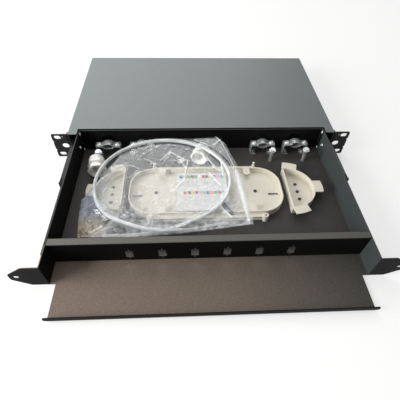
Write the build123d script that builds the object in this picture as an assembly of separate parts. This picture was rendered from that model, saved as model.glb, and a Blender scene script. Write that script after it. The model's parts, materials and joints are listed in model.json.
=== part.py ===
from build123d import *
import os
from math import cos, radians, tan

# Sliding fibre patch panel for a 19-inch rack, one unit high, with its drawer pulled out on
# telescopic ball slides and its fitting kit lying in the drawer. Millimetres throughout.
# X runs to the right, Y into the rack, Z up. The origin is the centre of the four rack holes,
# in the front face of the mounting ears. Heights named as such are measured from the underside.

# Rack standard and housing
RACK_WIDTH = 482.6          # ear tip to ear tip
RACK_HOLE_EDGE = 8.75       # from an ear's tip to the centre of its rack slots
RACK_HOLE_SPAN = RACK_WIDTH - 2 * RACK_HOLE_EDGE
RACK_HOLE_RISE = 31.75      # lower to upper hole centres
RACK_SLOT = (10.5, 6.8)     # length and height of a rack slot
UNIT_HEIGHT = 43.6
EAR_REACH = 26.3            # from the housing's side to an ear's tip
HOUSING_WIDTH = RACK_WIDTH - 2 * EAR_REACH
HOUSING_DEPTH = 254.0
SHEET = 1.2                 # housing and drawer sheet
BEND = 1.2                  # inner bend radius of that sheet
COVER_RECESS = 14.0         # how far the cover's front edge stands back over the drawer
COVER_FLANGE = 6.0          # depth of the cover's side flanges
EAR_SHEET = 2.0
EAR_HEIGHT = 43.2
EAR_LEG = 80.0              # length of the ear bracket along the housing's side
EAR_LEG_HEIGHT = 30.0
EAR_SCREW_END = 12.8        # from the ends of that leg to its screws
EAR_NOTCH = 1.6             # radius of the notches in the ear's outer edge
EAR_PILOT = 1.3             # radius of the small holes beside the slots
EAR_WINDOW = (11.0, 9.0)    # length and height of the ear's middle slot
SIDE_SCREW_END = 15.0       # from the ear bracket and the slide's end to the side screws

# Slides
TRAVEL = 240.0              # how far the drawer comes out
SLIDE_THICKNESS = 12.7      # from the housing wall to the drawer wall
SLIDE_HEIGHT = 27.0
SLIDE_SETBACK = 25.0        # from the ear plane to the slide's front end
SLIDE_TAIL = 9.0            # from the slide's rear end to the housing's rear edge
RAIL_SHEET = 1.2
RACE_GAP = 2.4              # between the faces that a row of balls runs in
BALL_RADIUS = 1.6
BALL_PLAY = 0.05            # radial play of a ball in its groove and its cage
BALL_COVER = 1.4            # rail flange past the balls' centres, over their radius
BALLS_PER_ROW = 3
CAGE_SHEET = 0.4
CAGE_PLAY = 0.3             # clearance of a cage's web on each side
CAGE_END = 5.0              # from a cage's end to the end of the rails' overlap
RAIL_SCREW_END = 10.0       # from an inner rail's end to its screw
BUMPER_FACE = 2.0           # thickness of the bumper on the middle rail's nose
BUMPER_GRIP = 8.0           # length of its two grips along the rail

# Drawer
FLOOR_CLEARANCE = 1.0       # drawer floor over housing floor
TOP_CLEARANCE = 1.4         # drawer wall under the cover
CLOSED_GAP = 0.4            # between the two pairs of ears when shut
DRAWER_EAR_REACH = 39.5     # from the drawer wall to the tip of its ear
DRAWER_EAR_SHOULDER = 19.5  # length of the ear's full-height root
DRAWER_EAR_TIP = 11.0       # height of the ear's tip
DRAWER_EAR_HOLE = (7.0, 4.6)
SHELF_REACH = 48.0          # shelf in front of the drawer's ears
SHELF_INSET = 8.6           # shelf edge inside the drawer wall
LIP_HEIGHT = 9.0            # upturned front edge of the shelf
LIP_OVERHANG = 3.0          # how far the lip's ends pass the shelf's edges
FIT = 0.15                  # side clearance of a panel between the drawer walls

# Adapter panel and rear panel
PANEL_SETBACK = 31.0        # from the drawer's ears back to the adapter panel
PANEL_FLANGE = 10.0
PANEL_DROP = 0.4            # panel top below the drawer wall's top
PANEL_RIVET_SHARES = (-0.8, -0.28, 0.28, 0.8)   # of the way from the middle to the drawer wall
ADAPTER_COUNT = 6
ADAPTER_PITCH = 41.5
ADAPTER_CUT = (9.6, 13.2)   # width and height of an adapter opening
ADAPTER_SCREW_RISE = 18.0
ADAPTER_SCREW_HOLE = 1.2    # radius
ADAPTER_AXIS = 18.2         # height of the adapter openings' centre
REAR_FLANGE = 7.0
ENTRY_EDGE = 44.4           # from the drawer wall to the outer cable entry
ENTRY_PITCH = 55.5
ENTRY_RADIUS = 11.3
ENTRY_AXIS = 21.4           # height of the cable entries' centre

# Cable clamps and anchor posts
CLAMP_SETBACK = 11.5        # from the rear panel to the clamp's middle
CLAMP_LENGTH = 40.0
CLAMP_STRIP = 11.5          # width of the strips, front to back
CLAMP_SHEET = 1.5
CLAMP_SCREW_SPAN = 29.0
CLAMP_BOW = 18.0            # chord of the saddle and the strap's arch
SADDLE_DIP = 3.4
STRAP_RISE = 4.4
CLAMP_FOOT = 9.0            # length of a foot inwards from its leg
POST_OFFSET = 12.2          # from a clamp's centre outwards to its post
POST_SETBACK = 34.0
POST_RADIUS = 3.2
POST_HEIGHT = 20.7
BOLT_FLATS = 8.0
BOLT_WASHER = 5.4
BOLT_WASHER_SHEET = 1.0
BOLT_HEAD = 3.4
BOLT_SHANK = 1.6
BOLT_REACH = 8.0

# Splice trays and fibre guides
TRAY_SETBACK = 108.0        # from the rear panel to the trays' middle
TRAY_GAP = 8.5              # from a tray's end to the guide beside it
TRAY_WIDTH = 92.0
TRAY_CORNER = 35.0
TRAY_HEIGHT = 5.6
TRAY_FLOOR = 1.2
TRAY_RIM = 1.6
TRAY_LEDGE = 7.0            # width of the ledge along each long side
TRAY_LEDGE_SHEET = 1.6
TRAY_LEDGE_END = 32.5       # from a tray's end to the ledge's end
TRAY_LUG = 4.0              # radius of the lug at each end of a ledge
TRAY_LUG_HOLE = 1.5
TRAY_NEST = 2.6             # depth of the upper tray's pocket inside the lower tray
NEST_PLAY = 0.3
TRAY_PEG = (2.6, 1.5, 2.0)  # radius of a stacking peg's foot, stem and cap
TRAY_PEG_HEIGHTS = (3.0, 6.4, 8.0)
TRAY_PEG_STEP = 0.6         # height of the slope at the stem's two ends
TRAY_HOLE_END = 39.5        # from a tray's end to its fixing hole
TRAY_TAB = (10.0, 16.0, 1.0)
TRAY_TAB_END = 48.5         # from a tray's end to its hold-down tabs
TRAY_SLOT = (16.0, 5.0)
TRAY_SLOT_SHIFT = 6.5       # slots in front of the tray's middle
TRAY_SLOT_END = 12.5        # from a tray's end to its slot
COMB_SIZE = (50.0, 34.0)
COMB_FLOOR = 1.0
COMB_RIBS = 7
COMB_RIB = 2.0
GUIDE_ROOM = 22.9           # from a guide's outer tab to the drawer wall
GUIDE_RADIUS = 42.0
GUIDE_HEIGHT = 13.3
GUIDE_WALL = 1.8
GUIDE_FLOOR = 1.5
GUIDE_TAB = (23.0, 12.0, 1.5)
GUIDE_TAB_ANGLES = (-75.0, 0.0, 75.0)
GUIDE_SCREW_PLACE = 18.0    # from the straight wall to the row of screws
GUIDE_SCREW_PITCH = 15.5

# Fitting kit
COIL_CENTRE = (139.9, 7.2)  # from the left drawer wall and from the trays' middle
COIL_AXES = (100.0, 84.0)   # half axes of the coil's centre line
TUBE_DIAMETER = 5.0
COIL_TURNS = 1
COIL_CLEARANCE = 0.3        # tube and bag over what they lie on
TUBE_END_LEFT = ((-5.0, -79.6), (-45.0, -84.7), (-85.0, -84.4))     # from the coil's middle
TUBE_END_RIGHT = ((14.0, -77.2), (51.0, -72.6), (88.0, -66.2))
TUBE_BEND_SHARE = 0.45      # share of a run that a bend takes up
GLAND_FLATS = 25.0
GLAND_BARREL = 10.8         # radius
GLAND_BORE = 7.0
GLAND_THREAD = 9.0          # length of the threaded barrel
GLAND_COLLAR = 5.0
GLAND_NECK = 7.0            # length of the neck under the dome nut
GLAND_DOME = 12.0
GLAND_DOME_SIDE = 6.8       # length of the dome nut's straight side
GLAND_DOME_SEAT = 9.6      # from its open end to its inner cone's end
GLAND_DOME_LIP = 2.0        # width of its end face round the bore
GLAND_LOCK_NUT = 6.0
GLAND_PLAY = 0.1
GLAND_HEADINGS = (100.0, 72.0)
GLAND_ROOM = 18.4           # from the left gland to the drawer wall
GLAND_STEP = 16.7           # left gland behind the middle between post and trays
GLAND_OFFSET = -4.0         # middle gland from the drawer's middle
CARD_SIZE = (76.0, 75.0)
CARD_SHEET = 0.4
CARD_CORNER = 2.0
CARD_CENTRE = (-6.0, -5.8)  # from the trays' middle
CLIP_SIZE = (27.0, 7.0, 2.4)
CLIP_CENTRE = (27.0, -42.0)
CLIP_ANGLE = -60.0
BAG_FILM = 0.4
BAG_SIDE = 20.0             # slope of the bag's sides, degrees from upright
BAG_OUTLINE = ((90, -96), (122, -84), (112, 20), (92, 90), (60, 97), (-60, 93), (-91, 52),
               (-97.7, 32), (-105.5, 14), (-117, -20), (-112, -97))

# Fasteners, as radius and head proportions
SCREW_PLAY = 0.1            # radial clearance of a screw or rivet in its hole
M4 = 2.0
M3 = 1.5
M2 = 1.0
RIVET = 1.6
HEAD_SPREAD = 1.8           # head radius over shank radius
HEAD_RISE = 1.1             # head height over shank radius
HEAD_FLAT = 0.65            # radius of the head's flat top over the head's radius
HEAD_RIM = 0.45             # height of the head's rim over the head's height
RIVET_RISE = 0.5            # rivet head height over shank radius
RIVET_FLAT = 0.8            # radius of the rivet head's flat over the head's radius
RIVET_TAIL = (1.5, 1.3)     # radii of the formed tail over shank radius
CUT_PAST = 1.0              # how far a cutter passes the faces of what it cuts

# Places that follow from the sizes above
base = -UNIT_HEIGHT / 2
side_out = HOUSING_WIDTH / 2
side_in = side_out - SHEET
cover_under = base + UNIT_HEIGHT - SHEET
drawer_out = side_in - SLIDE_THICKNESS
drawer_in = drawer_out - SHEET
floor_under = base + SHEET + FLOOR_CLEARANCE
floor_top = floor_under + SHEET
wall_top = cover_under - TOP_CLEARANCE
ear_face = -CLOSED_GAP - SHEET - TRAVEL
rear_out = HOUSING_DEPTH - TRAVEL
rear_in = rear_out - SHEET
panel_face = ear_face + PANEL_SETBACK
panel_top = wall_top - PANEL_DROP
tray_y = rear_in - TRAY_SETBACK
corner_relief = BEND + FIT
guide_place = drawer_in - GUIDE_ROOM - GUIDE_TAB[1] - GUIDE_RADIUS
tray_end = guide_place - TRAY_GAP
slide_length = HOUSING_DEPTH - SLIDE_SETBACK - SLIDE_TAIL
UPRIGHT = (Align.CENTER, Align.CENTER, Align.MIN)


def block(x, y, z):
    """Box between the pairs of limits x, y and z."""
    limits = (x, y, z)
    size = [high - low for low, high in limits]
    middle = [(low + high) / 2 for low, high in limits]
    return Pos(*middle) * Box(*size)


def rod(start, direction, radius, length):
    """Round bar from a start point along a direction."""
    return Plane(origin=start, z_dir=direction) * Cylinder(radius, length, align=UPRIGHT)


def prism_x(sketch, low, high):
    """Sketch in Y and Z drawn out along X between two places."""
    return extrude(Pos(low, 0, 0) * (Plane.YZ * sketch), amount=high - low)


def prism_y(sketch, low, high):
    """Sketch in X and Z drawn out along Y between two places."""
    return extrude(Pos(0, low, 0) * (Plane.XZ * sketch), amount=low - high)


def prism_z(sketch, low, high):
    """Sketch in X and Y drawn out along Z between two places."""
    return extrude(Pos(0, 0, low) * sketch, amount=high - low)


def bent(points, sheet, bend):
    """Section of a sheet bent along a line through its middle."""
    return trace(FilletPolyline(*points, radius=bend + sheet / 2), sheet)


def turned(profile, start, direction):
    """Solid turned from (radius, distance) points about a line from start along direction."""
    outline = make_face(Plane.XZ * Polyline(*profile, close=True))
    return Plane(origin=start, z_dir=direction) * revolve(outline, Axis.Z)


def screw(seat, direction, radius, length):
    """Pan-head screw: the head stands on seat and the shank goes in along direction."""
    head = radius * HEAD_SPREAD
    rise = radius * HEAD_RISE
    profile = [(0, -rise), (HEAD_FLAT * head, -rise), (head, -HEAD_RIM * rise), (head, 0)]
    profile += [(radius, 0), (radius, length), (0, length)]
    return turned(profile, seat, direction)


def rivet(seat, direction, grip):
    """Rivet through a grip of sheet, with a flat formed head on each side."""
    head = RIVET * HEAD_SPREAD
    rise = RIVET * RIVET_RISE
    profile = [(0, -rise), (RIVET_FLAT * head, -rise), (head, 0), (RIVET, 0), (RIVET, grip)]
    profile += [(RIVET_TAIL[0] * RIVET, grip), (RIVET_TAIL[1] * RIVET, grip + rise), (0, grip + rise)]
    return turned(profile, seat, direction)


def hole(face, direction, radius, sheet):
    """Cutter for a clearance hole from a face through a thickness of sheet."""
    start = Vector(*face) - Vector(*direction) * CUT_PAST
    return rod(start, direction, radius + SCREW_PLAY, sheet + 2 * CUT_PAST)


def mirrored(shape):
    """The same shape on the other side of the middle plane."""
    return mirror(shape, about=Plane.YZ)


def both_sides(shapes):
    """A list of shapes and their mirror images."""
    return shapes + [mirrored(shape) for shape in shapes]


def save(node, shapes):
    """Write one node, which is one solid or a group of equal solids."""
    if isinstance(shapes, list):
        shapes = Compound(children=shapes)
    export_step(shapes, f"parts/{node}.step")


def cut(body, tools):
    """Take a list of cutters from a body."""
    for tool in tools:
        body = body - tool
    return body


os.makedirs("parts", exist_ok=True)

# Screw places on the right side of the housing
ear_screw_rise = EAR_LEG_HEIGHT / 3
ear_screw_ends = (EAR_SCREW_END, EAR_LEG - EAR_SCREW_END)
ear_screw_places = [(y, z) for y in ear_screw_ends for z in (-ear_screw_rise, ear_screw_rise)]
cover_screw_z = cover_under - COVER_FLANGE / 2
rail_front = SLIDE_SETBACK
rail_rear = rail_front + slide_length
screw_front = EAR_LEG + SIDE_SCREW_END
screw_rear = rail_rear - SIDE_SCREW_END
cover_screw_places = [(y, cover_screw_z) for y in (screw_front, (screw_front + screw_rear) / 2, screw_rear)]
rail_screw_places = [(screw_front, 0), (screw_rear, 0)]
ear_grip = EAR_SHEET + SHEET
rail_grip = SHEET + RAIL_SHEET
INWARD = (-1, 0, 0)
OUTWARD = (1, 0, 0)
BACK = (0, 1, 0)
UP = (0, 0, 1)
DOWN = (0, 0, -1)

# Housing: a channel of bent sheet, open at the front and the rear
wall_middle = side_out - SHEET / 2
floor_middle = base + SHEET / 2
channel = [(-wall_middle, cover_under), (-wall_middle, floor_middle), (wall_middle, floor_middle),
           (wall_middle, cover_under)]
chassis = prism_y(bent(channel, SHEET, BEND), 0, HOUSING_DEPTH)
wall_holes = [hole((side_out, y, z), INWARD, M4, SHEET) for y, z in ear_screw_places + rail_screw_places]
wall_holes += [hole((side_out, y, z), INWARD, M3, SHEET) for y, z in cover_screw_places]
chassis = cut(chassis, both_sides(wall_holes))
save("housing_chassis", chassis)

# Cover: a flat plate with a recess over the drawer's rear and a flange down each side
flange_out = side_in - FIT
cover = block((-side_out, side_out), (0, HOUSING_DEPTH), (cover_under, cover_under + SHEET))
cover -= block((-drawer_out, drawer_out), (-CUT_PAST, COVER_RECESS),
               (cover_under - CUT_PAST, cover_under + SHEET + CUT_PAST))
cover = fillet(cover.edges().filter_by(Axis.Z).group_by(Axis.Y)[0], SHEET)
flange = block((flange_out - SHEET, flange_out), (COVER_RECESS, HOUSING_DEPTH - SHEET),
               (cover_under - COVER_FLANGE, cover_under))
flange = cut(flange, [hole((flange_out, y, z), INWARD, M3, SHEET) for y, z in cover_screw_places])
cover = cover + flange + mirrored(flange)
save("top_cover", cover)
cover_grip = side_out - flange_out + SHEET
cover_screws = [screw((side_out, y, z), INWARD, M3, cover_grip) for y, z in cover_screw_places]
save("cover_screws", both_sides(cover_screws))

# Mounting ears: angle brackets with rack slots, a middle window and notched outer edges
ear_line = [(side_out + EAR_SHEET / 2, EAR_LEG), (side_out + EAR_SHEET / 2, EAR_SHEET / 2),
            (RACK_WIDTH / 2, EAR_SHEET / 2)]
ear = prism_z(bent(ear_line, EAR_SHEET, EAR_SHEET / 2), -EAR_HEIGHT / 2, EAR_HEIGHT / 2)
relief = 3 * EAR_SHEET
for low, high in ((EAR_LEG_HEIGHT / 2, EAR_HEIGHT), (-EAR_HEIGHT, -EAR_LEG_HEIGHT / 2)):
    ear -= block((side_out - CUT_PAST, side_out + relief), (relief, EAR_LEG + CUT_PAST), (low, high))
ear = fillet(ear.edges().filter_by(Axis.X).group_by(Axis.Y)[-1], 2 * EAR_SHEET)
ear = fillet(ear.edges().filter_by(Axis.Y).group_by(Axis.X)[-1], EAR_SHEET)
slot_inner = RACK_HOLE_SPAN / 2 - RACK_SLOT[0] / 2
window_x = side_out + 1.5 * EAR_SHEET + EAR_WINDOW[0] / 2
punches = Pos(window_x, 0) * SlotOverall(*EAR_WINDOW)
for end in (-1, 1):
    punches += Pos(RACK_HOLE_SPAN / 2, end * RACK_HOLE_RISE / 2) * SlotOverall(*RACK_SLOT)
    punches += Pos(slot_inner - 2 * EAR_PILOT, end * (RACK_HOLE_RISE + EAR_PILOT) / 2) * Circle(EAR_PILOT)
    punches += Pos(RACK_WIDTH / 2, end * RACK_HOLE_RISE / 4) * Circle(EAR_NOTCH)
ear -= prism_y(punches, -CUT_PAST, EAR_SHEET + CUT_PAST)
ear_out = side_out + EAR_SHEET
ear = cut(ear, [hole((ear_out, y, z), INWARD, M4, EAR_SHEET) for y, z in ear_screw_places])
save("right_rack_ear", ear)
save("left_rack_ear", mirrored(ear))
save("ear_screws", both_sides([screw((ear_out, y, z), INWARD, M4, ear_grip) for y, z in ear_screw_places]))

# Slides: three nested channels with ball races between their flanges. Distances across the
# slide are measured from the housing wall towards the drawer.
outer_face = SLIDE_HEIGHT / 2 - RAIL_SHEET
middle_face = outer_face - RACE_GAP
inner_face = middle_face - RAIL_SHEET - RACE_GAP
outer_ball_z = outer_face - RACE_GAP / 2
inner_ball_z = middle_face - RAIL_SHEET - RACE_GAP / 2
middle_web = RAIL_SHEET + 2 * CAGE_PLAY + CAGE_SHEET
inner_tip = middle_web + RAIL_SHEET + 2 * CAGE_PLAY + CAGE_SHEET + CAGE_PLAY
inner_web = SLIDE_THICKNESS - RAIL_SHEET
ball_across = (inner_tip + SLIDE_THICKNESS - 2 * RAIL_SHEET) / 2 - RAIL_SHEET
flange_past_ball = BALL_COVER * BALL_RADIUS
middle_shift = -TRAVEL / 2
groove = BALL_RADIUS + BALL_PLAY


def across(distance):
    """X of a distance across the right-hand slide."""
    return side_in - distance


def rail(web, tip, face, shift, race_heights):
    """Channel with its web and flange tips at two distances and its flanges' outside at face."""
    middle = face - RAIL_SHEET / 2
    web_x = across(web + RAIL_SHEET / 2)
    points = [(across(tip), middle), (web_x, middle), (web_x, -middle), (across(tip), -middle)]
    body = prism_y(bent(points, RAIL_SHEET, RAIL_SHEET / 4), rail_front + shift, rail_rear + shift)
    for height in race_heights:
        for side in (-1, 1):
            start = (across(ball_across), rail_front + shift - CUT_PAST, side * height)
            body -= rod(start, BACK, groove, slide_length + 2 * CUT_PAST)
    return body


def cage(web, ball_z, front, rear):
    """Thin channel that spaces two rows of balls, with the balls."""
    web_x = across(web + CAGE_SHEET / 2)
    tip_x = across(ball_across + flange_past_ball)
    points = [(tip_x, ball_z), (web_x, ball_z), (web_x, -ball_z), (tip_x, -ball_z)]
    body = prism_y(bent(points, CAGE_SHEET, CAGE_SHEET), front, rear)
    step = (rear - front) / BALLS_PER_ROW
    centres = [(across(ball_across), front + (row + 0.5) * step, side * ball_z)
               for row in range(BALLS_PER_ROW) for side in (-1, 1)]
    body = cut(body, [Pos(*centre) * Cylinder(groove, 2 * BALL_RADIUS) for centre in centres])
    return body, [Pos(*centre) * Sphere(BALL_RADIUS) for centre in centres]


outer_rail = rail(0, ball_across + flange_past_ball, SLIDE_HEIGHT / 2, 0, [outer_ball_z])
middle_tip = ball_across + flange_past_ball + RAIL_SHEET
middle_rail = rail(middle_web, middle_tip, middle_face, middle_shift, [outer_ball_z, inner_ball_z])
inner_rail = rail(inner_web, inner_tip, inner_face, -TRAVEL, [inner_ball_z])
outer_rail = cut(outer_rail, [hole((side_in, y, z), INWARD, M4, RAIL_SHEET) for y, z in rail_screw_places])

# Bumper on the nose of the middle rail: a face plate with a way through for the inner rail,
# and two grips that sit on the rail's flanges
nose = rail_front + middle_shift
bumper_top = outer_face - 2 * CAGE_PLAY
bumper_x = (across(middle_tip), across(middle_web))
way = inner_face + 2 * CAGE_PLAY
bumper = block(bumper_x, (nose - BUMPER_FACE, nose), (-bumper_top, bumper_top))
bumper = fillet(bumper.edges().filter_by(Axis.Y), BUMPER_FACE)
bumper -= block((bumper_x[0] - CUT_PAST, across(inner_tip - CAGE_PLAY)),
                (nose - BUMPER_FACE - CUT_PAST, nose + CUT_PAST), (-way, way))
for side in (-1, 1):
    low, high = sorted((side * middle_face, side * bumper_top))
    grip_x = (bumper_x[0] + BUMPER_FACE, bumper_x[1] - BUMPER_FACE)
    grip = block(grip_x, (nose - BUMPER_FACE / 2, nose + BUMPER_GRIP), (low, high))
    race = rod((across(ball_across), nose, side * outer_ball_z), BACK, groove, BUMPER_GRIP + CUT_PAST)
    bumper += grip - race

# Cages sit in the middle of the length that two rails share when the drawer is out
shared = slide_length - TRAVEL / 2
outer_cage, outer_balls = cage(RAIL_SHEET + CAGE_PLAY, outer_ball_z, rail_front + CAGE_END,
                               rail_front + shared - CAGE_END)
inner_cage, inner_balls = cage(middle_web + RAIL_SHEET + CAGE_PLAY, inner_ball_z, nose + CAGE_END,
                               nose + shared - CAGE_END)

inner_rail_screws_y = [rail_front - TRAVEL + RAIL_SCREW_END, rail_rear - TRAVEL - RAIL_SCREW_END]
drawer_grip = SHEET + RAIL_SHEET
inner_rail_holes = [hole((drawer_out, y, 0), OUTWARD, M3, RAIL_SHEET) for y in inner_rail_screws_y]
inner_rail = cut(inner_rail, inner_rail_holes)
slide_parts = {"outer_rail": outer_rail, "middle_rail": middle_rail, "inner_rail": inner_rail,
               "rail_bumper": bumper, "outer_cage": outer_cage, "inner_cage": inner_cage}
for name, shape in slide_parts.items():
    save(f"right_{name}", shape)
    save(f"left_{name}", mirrored(shape))
for name, balls in (("outer_balls", outer_balls), ("inner_balls", inner_balls)):
    save(f"right_{name}", balls)
    save(f"left_{name}", [mirrored(ball) for ball in balls])
outer_rail_screws = [screw((side_out, y, z), INWARD, M4, rail_grip) for y, z in rail_screw_places]
save("outer_rail_screws", both_sides(outer_rail_screws))
inner_rail_screws = [screw((drawer_in, y, 0), OUTWARD, M3, drawer_grip) for y in inner_rail_screws_y]
save("inner_rail_screws", both_sides(inner_rail_screws))

# Fixing places on the drawer floor and walls
outer_entry = drawer_in - ENTRY_EDGE
entries = [side * place for side in (-1, 1) for place in (outer_entry - ENTRY_PITCH, outer_entry)]
clamp_y = rear_in - CLAMP_SETBACK
post_y = rear_in - POST_SETBACK
screw_reach = CLAMP_SCREW_SPAN / 2
foot_places = [(x + side * screw_reach, clamp_y) for x in entries for side in (-1, 1)]
post_places = [(x + (POST_OFFSET if x > 0 else -POST_OFFSET), post_y) for x in entries]
tray_screw_places = [(side * (tray_end - TRAY_HOLE_END), tray_y) for side in (-1, 1)]
guide_screw_places = [(side * (guide_place + GUIDE_SCREW_PLACE), tray_y + row * GUIDE_SCREW_PITCH)
                      for side in (-1, 1) for row in (-1, 0, 1)]
panel_rivet_y = panel_face + SHEET + (PANEL_FLANGE - SHEET) / 2
panel_rivet_places = [(share * drawer_in, panel_rivet_y) for share in PANEL_RIVET_SHARES]
rear_rivet_y = rear_in - REAR_FLANGE / 2
rear_rivet_rise = inner_face + 3 * RIVET * HEAD_SPREAD
rear_rivet_places = [(rear_rivet_y, side * rear_rivet_rise) for side in (-1, 1)]

# Drawer: floor, side walls, ears and shelf in one sheet
drawer_wall = drawer_out - SHEET / 2
drawer_floor = floor_under + SHEET / 2
drawer_line = [(-drawer_wall, wall_top), (-drawer_wall, drawer_floor), (drawer_wall, drawer_floor),
               (drawer_wall, wall_top)]
drawer = prism_y(bent(drawer_line, SHEET, BEND), ear_face, rear_out)
ear_middle = (floor_under + wall_top) / 2
ear_half = (wall_top - floor_under) / 2
shoulder = drawer_out + DRAWER_EAR_SHOULDER
tip = drawer_out + DRAWER_EAR_REACH
tip_half = DRAWER_EAR_TIP / 2
ear_corners = [(drawer_in, ear_half), (shoulder, ear_half), (tip, tip_half), (tip, -tip_half),
               (shoulder, -ear_half), (drawer_in, -ear_half)]
ear_outline = make_face(Polyline(*ear_corners, close=True))
ear_outline = fillet(ear_outline.vertices().group_by(Axis.X)[-1], tip_half - SHEET)
ear_outline = fillet(ear_outline.vertices().filter_by(lambda v: abs(v.X - shoulder) < SHEET), 4 * BEND)
ear_outline -= Pos(RACK_HOLE_SPAN / 2, 0) * SlotOverall(*DRAWER_EAR_HOLE)
front_ear = prism_y(Pos(0, ear_middle) * ear_outline, ear_face, ear_face + SHEET)
drawer += front_ear + mirrored(front_ear)

# Shelf with an upturned lip whose rounded ends pass the shelf's edges
shelf_half = drawer_out - SHELF_INSET
shelf_front = ear_face - SHELF_REACH
lip_middle = shelf_front + SHEET / 2
shelf_line = [(ear_face + SHEET, drawer_floor), (lip_middle, drawer_floor),
              (lip_middle, floor_under + LIP_HEIGHT)]
drawer += prism_x(bent(shelf_line, SHEET, BEND), -shelf_half, shelf_half)
lip_low = floor_under + BEND + SHEET
lip_half = shelf_half + LIP_OVERHANG
lip = block((-lip_half, lip_half), (shelf_front, shelf_front + SHEET), (lip_low, floor_under + LIP_HEIGHT))
drawer += fillet(lip.edges().filter_by(Axis.Y), LIP_OVERHANG - FIT)

# Holes for everything that is fixed to the drawer
floor_screw_places = foot_places + tray_screw_places + guide_screw_places
drawer_cuts = [hole((x, y, floor_under), UP, M3, SHEET) for x, y in floor_screw_places]
drawer_cuts += [hole((x, y, floor_under), UP, BOLT_SHANK, SHEET) for x, y in post_places]
drawer_cuts += [hole((x, y, floor_under), UP, RIVET, SHEET) for x, y in panel_rivet_places]
wall_cuts = [hole((drawer_in, y, 0), OUTWARD, M3, SHEET) for y in inner_rail_screws_y]
wall_cuts += [hole((drawer_in, y, z), OUTWARD, RIVET, SHEET) for y, z in rear_rivet_places]
drawer = cut(drawer, drawer_cuts + both_sides(wall_cuts))
save("drawer_tray", drawer)

# Adapter panel: a channel across the drawer with a row of adapter openings
panel_half = drawer_in - FIT
face_middle = panel_face + SHEET / 2
panel_rear = panel_face + PANEL_FLANGE
panel_line = [(panel_rear, panel_top - SHEET / 2), (face_middle, panel_top - SHEET / 2),
              (face_middle, floor_top + SHEET / 2), (panel_rear, floor_top + SHEET / 2)]
panel = prism_x(bent(panel_line, SHEET, BEND / 2), -panel_half, panel_half)
adapters = [(index - (ADAPTER_COUNT - 1) / 2) * ADAPTER_PITCH for index in range(ADAPTER_COUNT)]
adapter_z = base + ADAPTER_AXIS
openings = Sketch()
for x in adapters:
    openings += Pos(x, adapter_z) * Rectangle(*ADAPTER_CUT)
    for side in (-1, 1):
        openings += Pos(x, adapter_z + side * ADAPTER_SCREW_RISE / 2) * Circle(ADAPTER_SCREW_HOLE)
panel -= prism_y(openings, panel_face - CUT_PAST, panel_face + SHEET + CUT_PAST)
corner_x = (panel_half - corner_relief, panel_half + CUT_PAST)
corner_z = (floor_top - CUT_PAST, floor_top + corner_relief)
corner = block(corner_x, (panel_face - CUT_PAST, panel_rear + CUT_PAST), corner_z)
panel = cut(panel, [corner, mirrored(corner)])
flange_holes = [hole((x, y, floor_top), UP, RIVET, SHEET) for x, y in panel_rivet_places]
panel = cut(panel, flange_holes)
save("adapter_panel", panel)
panel_grip = 2 * SHEET
flush_rivets = []
for x, y in panel_rivet_places:
    head = RIVET * HEAD_SPREAD
    head_top = panel_grip + RIVET * RIVET_RISE
    profile = [(0, 0), (RIVET, 0), (RIVET, panel_grip), (head, panel_grip)]
    profile += [(RIVET_FLAT * head, head_top), (0, head_top)]
    flush_rivets.append(turned(profile, (x, y, floor_under), UP))
save("panel_rivets", flush_rivets)

# Rear panel: cable entries in a plate with a flange riveted to each wall
entry_z = base + ENTRY_AXIS
rear = block((-panel_half, panel_half), (rear_in, rear_out), (floor_top, wall_top))
rear_flange = block((panel_half - SHEET, panel_half), (rear_in - REAR_FLANGE, rear_in),
                    (floor_top + corner_relief, wall_top - corner_relief))
rear_seat = panel_half - SHEET
rear_flange_holes = [hole((rear_seat, y, z), OUTWARD, RIVET, SHEET) for y, z in rear_rivet_places]
rear_flange = cut(rear_flange, rear_flange_holes)
rear += rear_flange + mirrored(rear_flange)
entry_cuts = Sketch()
for x in entries:
    entry_cuts += Pos(x, entry_z) * Circle(ENTRY_RADIUS)
rear -= prism_y(entry_cuts, rear_in - CUT_PAST, rear_out + CUT_PAST)
rear_corner = block(corner_x, (rear_in - CUT_PAST, rear_out + CUT_PAST), corner_z)
rear = cut(rear, [rear_corner, mirrored(rear_corner)])
save("rear_panel", rear)
rear_grip = drawer_out - rear_seat
rear_rivets = [rivet((rear_seat, y, z), OUTWARD, rear_grip) for y, z in rear_rivet_places]
save("rear_panel_rivets", both_sides(rear_rivets))

# Cable clamps: a saddle strip with bent-down legs and inward feet, and an arched strap screwed on top
saddle_z = entry_z - CLAMP_SHEET / 2
strap_z = entry_z + CLAMP_SHEET / 2
strip = (clamp_y - CLAMP_STRIP / 2, clamp_y + CLAMP_STRIP / 2)


def bowed_strip(x, z, bow, end):
    """Strip across a cable entry, to end on each side, with an arc of height bow in its middle."""
    chord = CLAMP_BOW / 2
    line = Line((-end, 0), (-chord, 0)) + ThreePointArc((-chord, 0), (0, bow), (chord, 0))
    line += Line((chord, 0), (end, 0))
    body = prism_y(Pos(x, z) * trace(line, CLAMP_SHEET), *strip)
    top = z + CLAMP_SHEET / 2
    screw_holes = [hole((x + side * screw_reach, clamp_y, top), DOWN, M4, CLAMP_SHEET) for side in (-1, 1)]
    return cut(body, screw_holes)


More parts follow.
